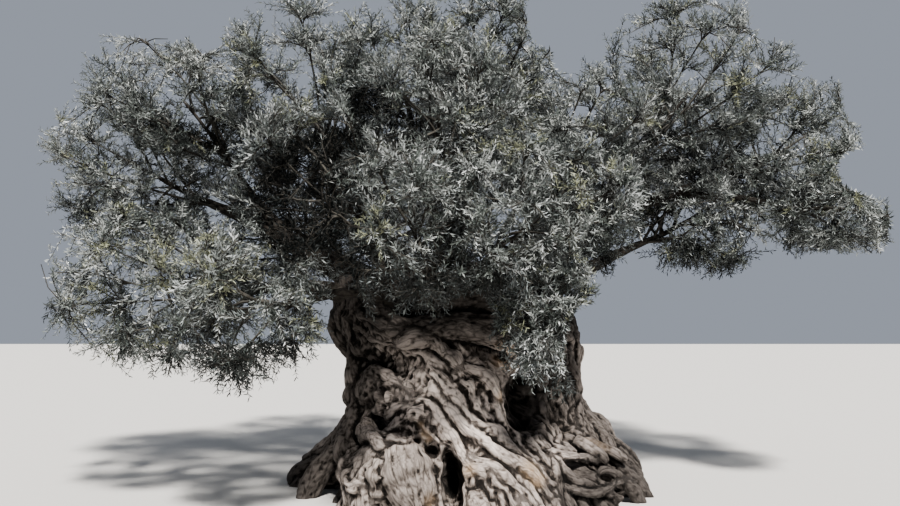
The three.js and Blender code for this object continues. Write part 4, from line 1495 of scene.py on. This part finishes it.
def shoots_from(number, name, twigs, random):
    """Where a mass's shoots start and end, and which twig each stands on."""
    count = SHOOTS * len(twigs)
    twig_of = np.repeat(np.arange(len(twigs)), SHOOTS)
    first = FIRST_SHOOT_FULLER if name in FULLER else FIRST_SHOOT
    where = np.tile(np.linspace(first, 1.0, SHOOTS), len(twigs)) + random.uniform(-0.04, 0.0, count)
    cell = np.clip(where * TWIG_STEPS, 0, TWIG_STEPS - 1e-6)
    low = cell.astype(int)
    starts = mix(twigs[twig_of, low], twigs[twig_of, low + 1], (cell - low)[:, None])
    along = unit(twigs[twig_of, low + 1] - twigs[twig_of, low])
    loose = unit(random.normal(0, 1, (count, 3)))
    outward = unit(starts - MIDDLES[number])
    lift = 0.0 if name in DROOPING else LIFT
    ways = unit(along * ALONG_TWIG + outward * OUT_OF_MASS + loose + np.array([0, 0, lift]))
    long = random.uniform(*SHOOT_LENGTHS, count)
    own, _ = own_and_others(number, starts + ways * long[:, None])
    long = long * np.clip(1 - (own - 1) * 2.2, 0.45, 1)
    tips = starts + ways * long[:, None]
    return starts, np.clip(tips, low_corner + ROOM_AT_EDGE, high_corner - ROOM_AT_EDGE), twig_of


def chosen_shoots(number, name, starts, tips, random):
    """Which shoots are kept, how far each tip is from the mass's middle, and its light."""
    own, others = own_and_others(number, tips)
    chance, shade = in_openings(tips, own)
    chance = np.maximum(chance, in_openings(mix(starts, tips, 0.4), own)[0])
    light = spray_light(number, tips)
    if name in FULLER:
        light[own < INNER_SHADE_BELOW] -= INNER_SHADE_FULLER
        light += FULLER_LIGHT
    else:
        light[own < INNER_SHADE_BELOW] -= INNER_SHADE
        chance[own < DEEP_INSIDE] = 0.5
    light[shade] = DARKEST
    long_enough = np.linalg.norm(tips - starts, axis=1) > SHORTEST_SHOOT
    in_place = (own < 1.02) & (own < others + 0.2)
    return in_place & long_enough & (random.random(len(chance)) >= chance), own, light


rods = Rods()
shoot_sets = []
for number, name in enumerate(CROWN):
    random = np.random.default_rng(100 + number)
    seed = share_of(number, 0.31)
    branches = grow_branches(number, name, seed, random)
    rods.add(branches, BRANCH_RADII)
    ends, out = twig_ends_of(number, FULLER_TWIGS if name in FULLER else TWIGS, seed, random)
    twigs = grow_twigs(number, branches, ends, out)
    rods.add(twigs, TWIG_RADII)
    starts, tips, twig_of = shoots_from(number, name, twigs, random)
    kept, own, light = chosen_shoots(number, name, starts, tips, random)
    long = np.linalg.norm(tips - starts, axis=1)
    ways = unit(tips - starts)
    shoot_sets.append((starts[kept], ways[kept], long[kept], twig_of[kept], own[kept], light[kept]))
    sagged = tips - SAG * (long / LONG_SHOOT)[:, None]
    rods.add(curved(starts[kept], mix(starts, tips, 0.5)[kept], sagged[kept], 1), SHOOT_RADII)

# The twigs' colours are darkened as painted shade of the crown, and wander at random between a darker and a
# paler tint.
TWIG_ROUGHNESS = 0.8
SHADED_TWIG_DARK = (0.022, 0.02, 0.017)
SHADED_TWIG_PALE = (0.062, 0.057, 0.047)
twigs_piece = in_scene("twigs", rods.mesh("twigs"))
shade_smooth(twigs_piece.data)
shaded_twig_bark, tree, surface = new_material("shaded_twig_bark")
surface.inputs["Roughness"].default_value = TWIG_ROUGHNESS
twig_place = node(tree, "ShaderNodeTexCoord")
twig_spots = noise_pattern(tree, 6.0, 2.0)
twig_tints = colour_steps(tree, [(0.35, SHADED_TWIG_DARK), (0.7, SHADED_TWIG_PALE)])
link_up(
    tree,
    (twig_place, "Object", twig_spots, "Vector"),
    (twig_spots, "Fac", twig_tints, "Fac"),
    (twig_tints, "Color", surface, "Base Color"),
)
twigs_piece.data.materials.append(shaded_twig_bark)
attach(twigs_piece, "root")


# The leaves: narrow and leathery, in opposite pairs along the shoots, dark grey-green above and silver
# below. Each is folded a little along its midrib, and plainer inside the crown. Every spray has one of
# seven tints, chosen by how it stands in the light, so that the tints paint light and shade: paler where
# the sun falls, darker in shade and near black in the hollows.
PAIRS = 10
LEAF_LENGTH = 0.08
LEAF_WIDTH = 0.0165
PIECES = 6
LEAF_OUTLINE = np.array([
    (0.0, 0.0, 0.0),
    (0.36, -0.5, 0.11),
    (0.74, -0.36, 0.05),
    (1.0, 0.0, -0.1),
    (0.74, 0.36, 0.05),
    (0.36, 0.5, 0.11),
])
LEAF_FACES = np.array([(0, 3, 4, 5), (0, 1, 2, 3)])
INNER_OUTLINE = np.array([(0.0, 0.0, 0.0), (0.5, -0.55, 0.08), (1.0, 0.0, -0.08), (0.5, 0.55, 0.08)])
INNER_FACES = np.array([(0, 1, 2, 3)])
INNER_LIMIT = 0.99

# How the leaves stand: how widely they open from their shoot, how loosely, their sizes, how much
# smaller they are at its tip, and how deep their fold is.
LEAF_OPENING = (0.35, 1.2)
LEAF_TURN = 0.35
LEAF_SWAY = 0.26
LEAF_TILT = 0.25
LEAF_SIZES = (0.66, 1.16)
TIP_SMALLER = 0.3
FOLD_DEPTH = 0.5

# Each tint: its upper side, its under side and how much it shines. The dark tints are painted shade, and
# the darkest of them is painted shadow in the hollows. The grey and silver ones are the leaves' own silvery
# colour made paler as painted light.
TINTS = {
    "leaf_hollow_shadow": ((0.006, 0.007, 0.0068), (0.018, 0.021, 0.021), 0.1),
    "leaf_shade": ((0.014, 0.017, 0.0158), (0.048, 0.053, 0.053), 0.4),
    "leaf_deep": ((0.041, 0.049, 0.046), (0.137, 0.155, 0.154), 0.5),
    "leaf_green": ((0.084, 0.098, 0.089), (0.23, 0.25, 0.246), 0.5),
    "leaf_grey": ((0.162, 0.178, 0.169), (0.33, 0.35, 0.348), 0.5),
    "leaf_silver": ((0.28, 0.296, 0.285), (0.47, 0.49, 0.49), 0.5),
    "leaf_young": ((0.19, 0.2, 0.135), (0.32, 0.335, 0.27), 0.5),
}

# How common each tint is on sprays in the sun, between, and in the shade.
SUNNY = (0, 0, 0.1, 0.3, 0.34, 0.2, 0.06)
BETWEEN = (0, 0.1, 0.32, 0.32, 0.17, 0.06, 0.03)
SHADY = (0, 0.62, 0.3, 0.08, 0, 0, 0)
HOLLOW = (0.75, 0.25, 0, 0, 0, 0, 0)
SUN_FROM = 0.32
SHADE_FROM = -0.22
YOUNG_MASSES = {"left_low": 0.08, "left_front": 0.08, "hanging": 0.06}
LONE_SHOOTS = 0.4


def leaves_on(starts, ways, long, random, outline):
    """The corners of all leaves of a set of shoots, as an array of shoots by leaves by corners by xyz."""
    shoots = len(starts)
    reference = unit(random.normal(0, 1, (shoots, 3)))
    side = unit(np.cross(ways, reference))
    across = np.cross(ways, side)
    found = []
    for pair in range(PAIRS):
        t = (pair + 0.7) / PAIRS
        place = starts + ways * (long * t)[:, None] - SAG * (long / LONG_SHOOT * t)[:, None]
        turn = pair * math.pi / 2 + random.uniform(-LEAF_TURN, LEAF_TURN, shoots)
        for hand in (1, -1):
            out = (side * np.cos(turn)[:, None] + across * np.sin(turn)[:, None]) * hand
            opened = random.uniform(*LEAF_OPENING, shoots)
            leaf_way = unit(ways * np.cos(opened)[:, None] + out * np.sin(opened)[:, None])
            leaf_way = unit(leaf_way + random.normal(0, LEAF_SWAY, (shoots, 3)))
            face = ways - (ways * leaf_way).sum(1)[:, None] * leaf_way
            face = unit(face + random.normal(0, LEAF_TILT, (shoots, 3)))
            width_way = unit(np.cross(face, leaf_way))
            face = np.cross(leaf_way, width_way)
            size = random.uniform(*LEAF_SIZES, shoots) * (1 - TIP_SMALLER * t * t)
            corners = [
                place
                + leaf_way * (size * LEAF_LENGTH * x)[:, None]
                + width_way * (size * LEAF_WIDTH * y)[:, None]
                + face * (size * LEAF_LENGTH * z * FOLD_DEPTH)[:, None]
                for x, y, z in outline
            ]
            found.append(np.stack(corners, 1))
    return np.stack(found, 1)


def leaf_material(name, upper, under, shine):
    material, tree, surface = new_material(name)
    surface.inputs["Specular IOR Level"].default_value = shine
    place = node(tree, "ShaderNodeTexCoord")
    mottle = noise_pattern(tree, 42.0, 2.0)
    tone = colour_steps(tree, [(0.3, [c * 0.78 for c in upper]), (0.7, [min(1, c * 1.2) for c in upper])])
    behind = node(tree, "ShaderNodeNewGeometry")
    sides = colour_mix(tree)
    sides.inputs[MIX_SECOND].default_value = (*under, 1)
    gloss = rescaled(tree, (0.0, 1.0), (0.36, 0.6))
    ribs = node(tree, "ShaderNodeBump", inputs={"Strength": 0.3, "Distance": 0.002})
    link_up(
        tree,
        (place, "Object", mottle, "Vector"),
        (mottle, "Fac", tone, "Fac"),
        (behind, "Backfacing", sides, MIX_SHARE),
        (tone, "Color", sides, MIX_FIRST),
        (sides, MIXED, surface, "Base Color"),
        (mottle, "Fac", gloss, "Value"),
        (gloss, "Result", surface, "Roughness"),
        (mottle, "Fac", ribs, "Height"),
        (ribs, "Normal", surface, "Normal"),
    )
    return material


def tints_of(name, light, twig_of, random):
    """The tint of each shoot. Most shoots of a twig share one, by how they stand in the light."""
    twig_roll = random.random(FULLER_TWIGS)[twig_of]
    own_roll = random.random(len(light))
    roll = np.where(random.random(len(light)) < LONE_SHOOTS, own_roll, twig_roll)
    tint = np.zeros(len(light), int)
    for shares, lit in (
        (SUNNY, light >= SUN_FROM),
        (BETWEEN, (light < SUN_FROM) & (light >= SHADE_FROM)),
        (SHADY, (light < SHADE_FROM) & (light > DARKEST)),
        (HOLLOW, light <= DARKEST),
    ):
        tint[lit] = np.searchsorted(np.cumsum(shares) / sum(shares), roll[lit])
    young = (random.random(FULLER_TWIGS) < YOUNG_MASSES.get(name, 0))[twig_of] & (light > 0)
    tint[young] = len(TINTS) - 1
    return tint


class Leaves:
    """The leaves of some masses, gathered as arrays and made as one mesh."""

    def __init__(self):
        self.places = []
        self.quads = []
        self.tints = []
        self.count = 0

    def add(self, corners, tints, faces):
        """Adds leaves by their corners, but for those that reach out of the CAD model's box."""
        inside = ((corners > low_corner) & (corners < high_corner)).all((1, 2))
        corners = corners[inside]
        first = np.arange(len(corners))[:, None, None] * corners.shape[1] + self.count
        self.places.append(corners.reshape(-1, 3))
        self.quads.append((faces[None] + first).reshape(-1, 4))
        self.tints.append(np.repeat(tints[inside], len(faces)))
        self.count += len(corners) * corners.shape[1]

    def add_mass(self, number):
        starts, ways, long, twig_of, own, light = shoot_sets[number]
        random = np.random.default_rng(500 + int(number))
        shoot_tints = tints_of(list(CROWN)[number], light, twig_of, random)
        for outline, faces, chosen in (
            (LEAF_OUTLINE, LEAF_FACES, own >= INNER_LIMIT),
            (INNER_OUTLINE, INNER_FACES, own < INNER_LIMIT),
        ):
            corners = leaves_on(starts[chosen], ways[chosen], long[chosen], random, outline)
            tints = np.repeat(shoot_tints[chosen], corners.shape[1])
            self.add(corners.reshape(-1, len(outline), 3), tints, faces)

    def mesh(self, name):
        made = bpy.data.meshes.new(name)
        fill_mesh(made, np.concatenate(self.places), np.concatenate(self.quads))
        for material in leaf_materials:
            made.materials.append(material)
        made.polygons.foreach_set("material_index", np.concatenate(self.tints).astype(np.int32))
        return made


leaf_materials = [leaf_material(name, *tint) for name, tint in TINTS.items()]
for piece_number, group in enumerate(np.array_split(np.arange(len(CROWN)), PIECES)):
    gathered = Leaves()
    for number in group:
        gathered.add_mass(number)
    name = f"leaves_{piece_number}"
    leaves = in_scene(name, gathered.mesh(name))
    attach(leaves, "root")
    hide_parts(*[f"foliage_{list(CROWN)[number]}" for number in group])
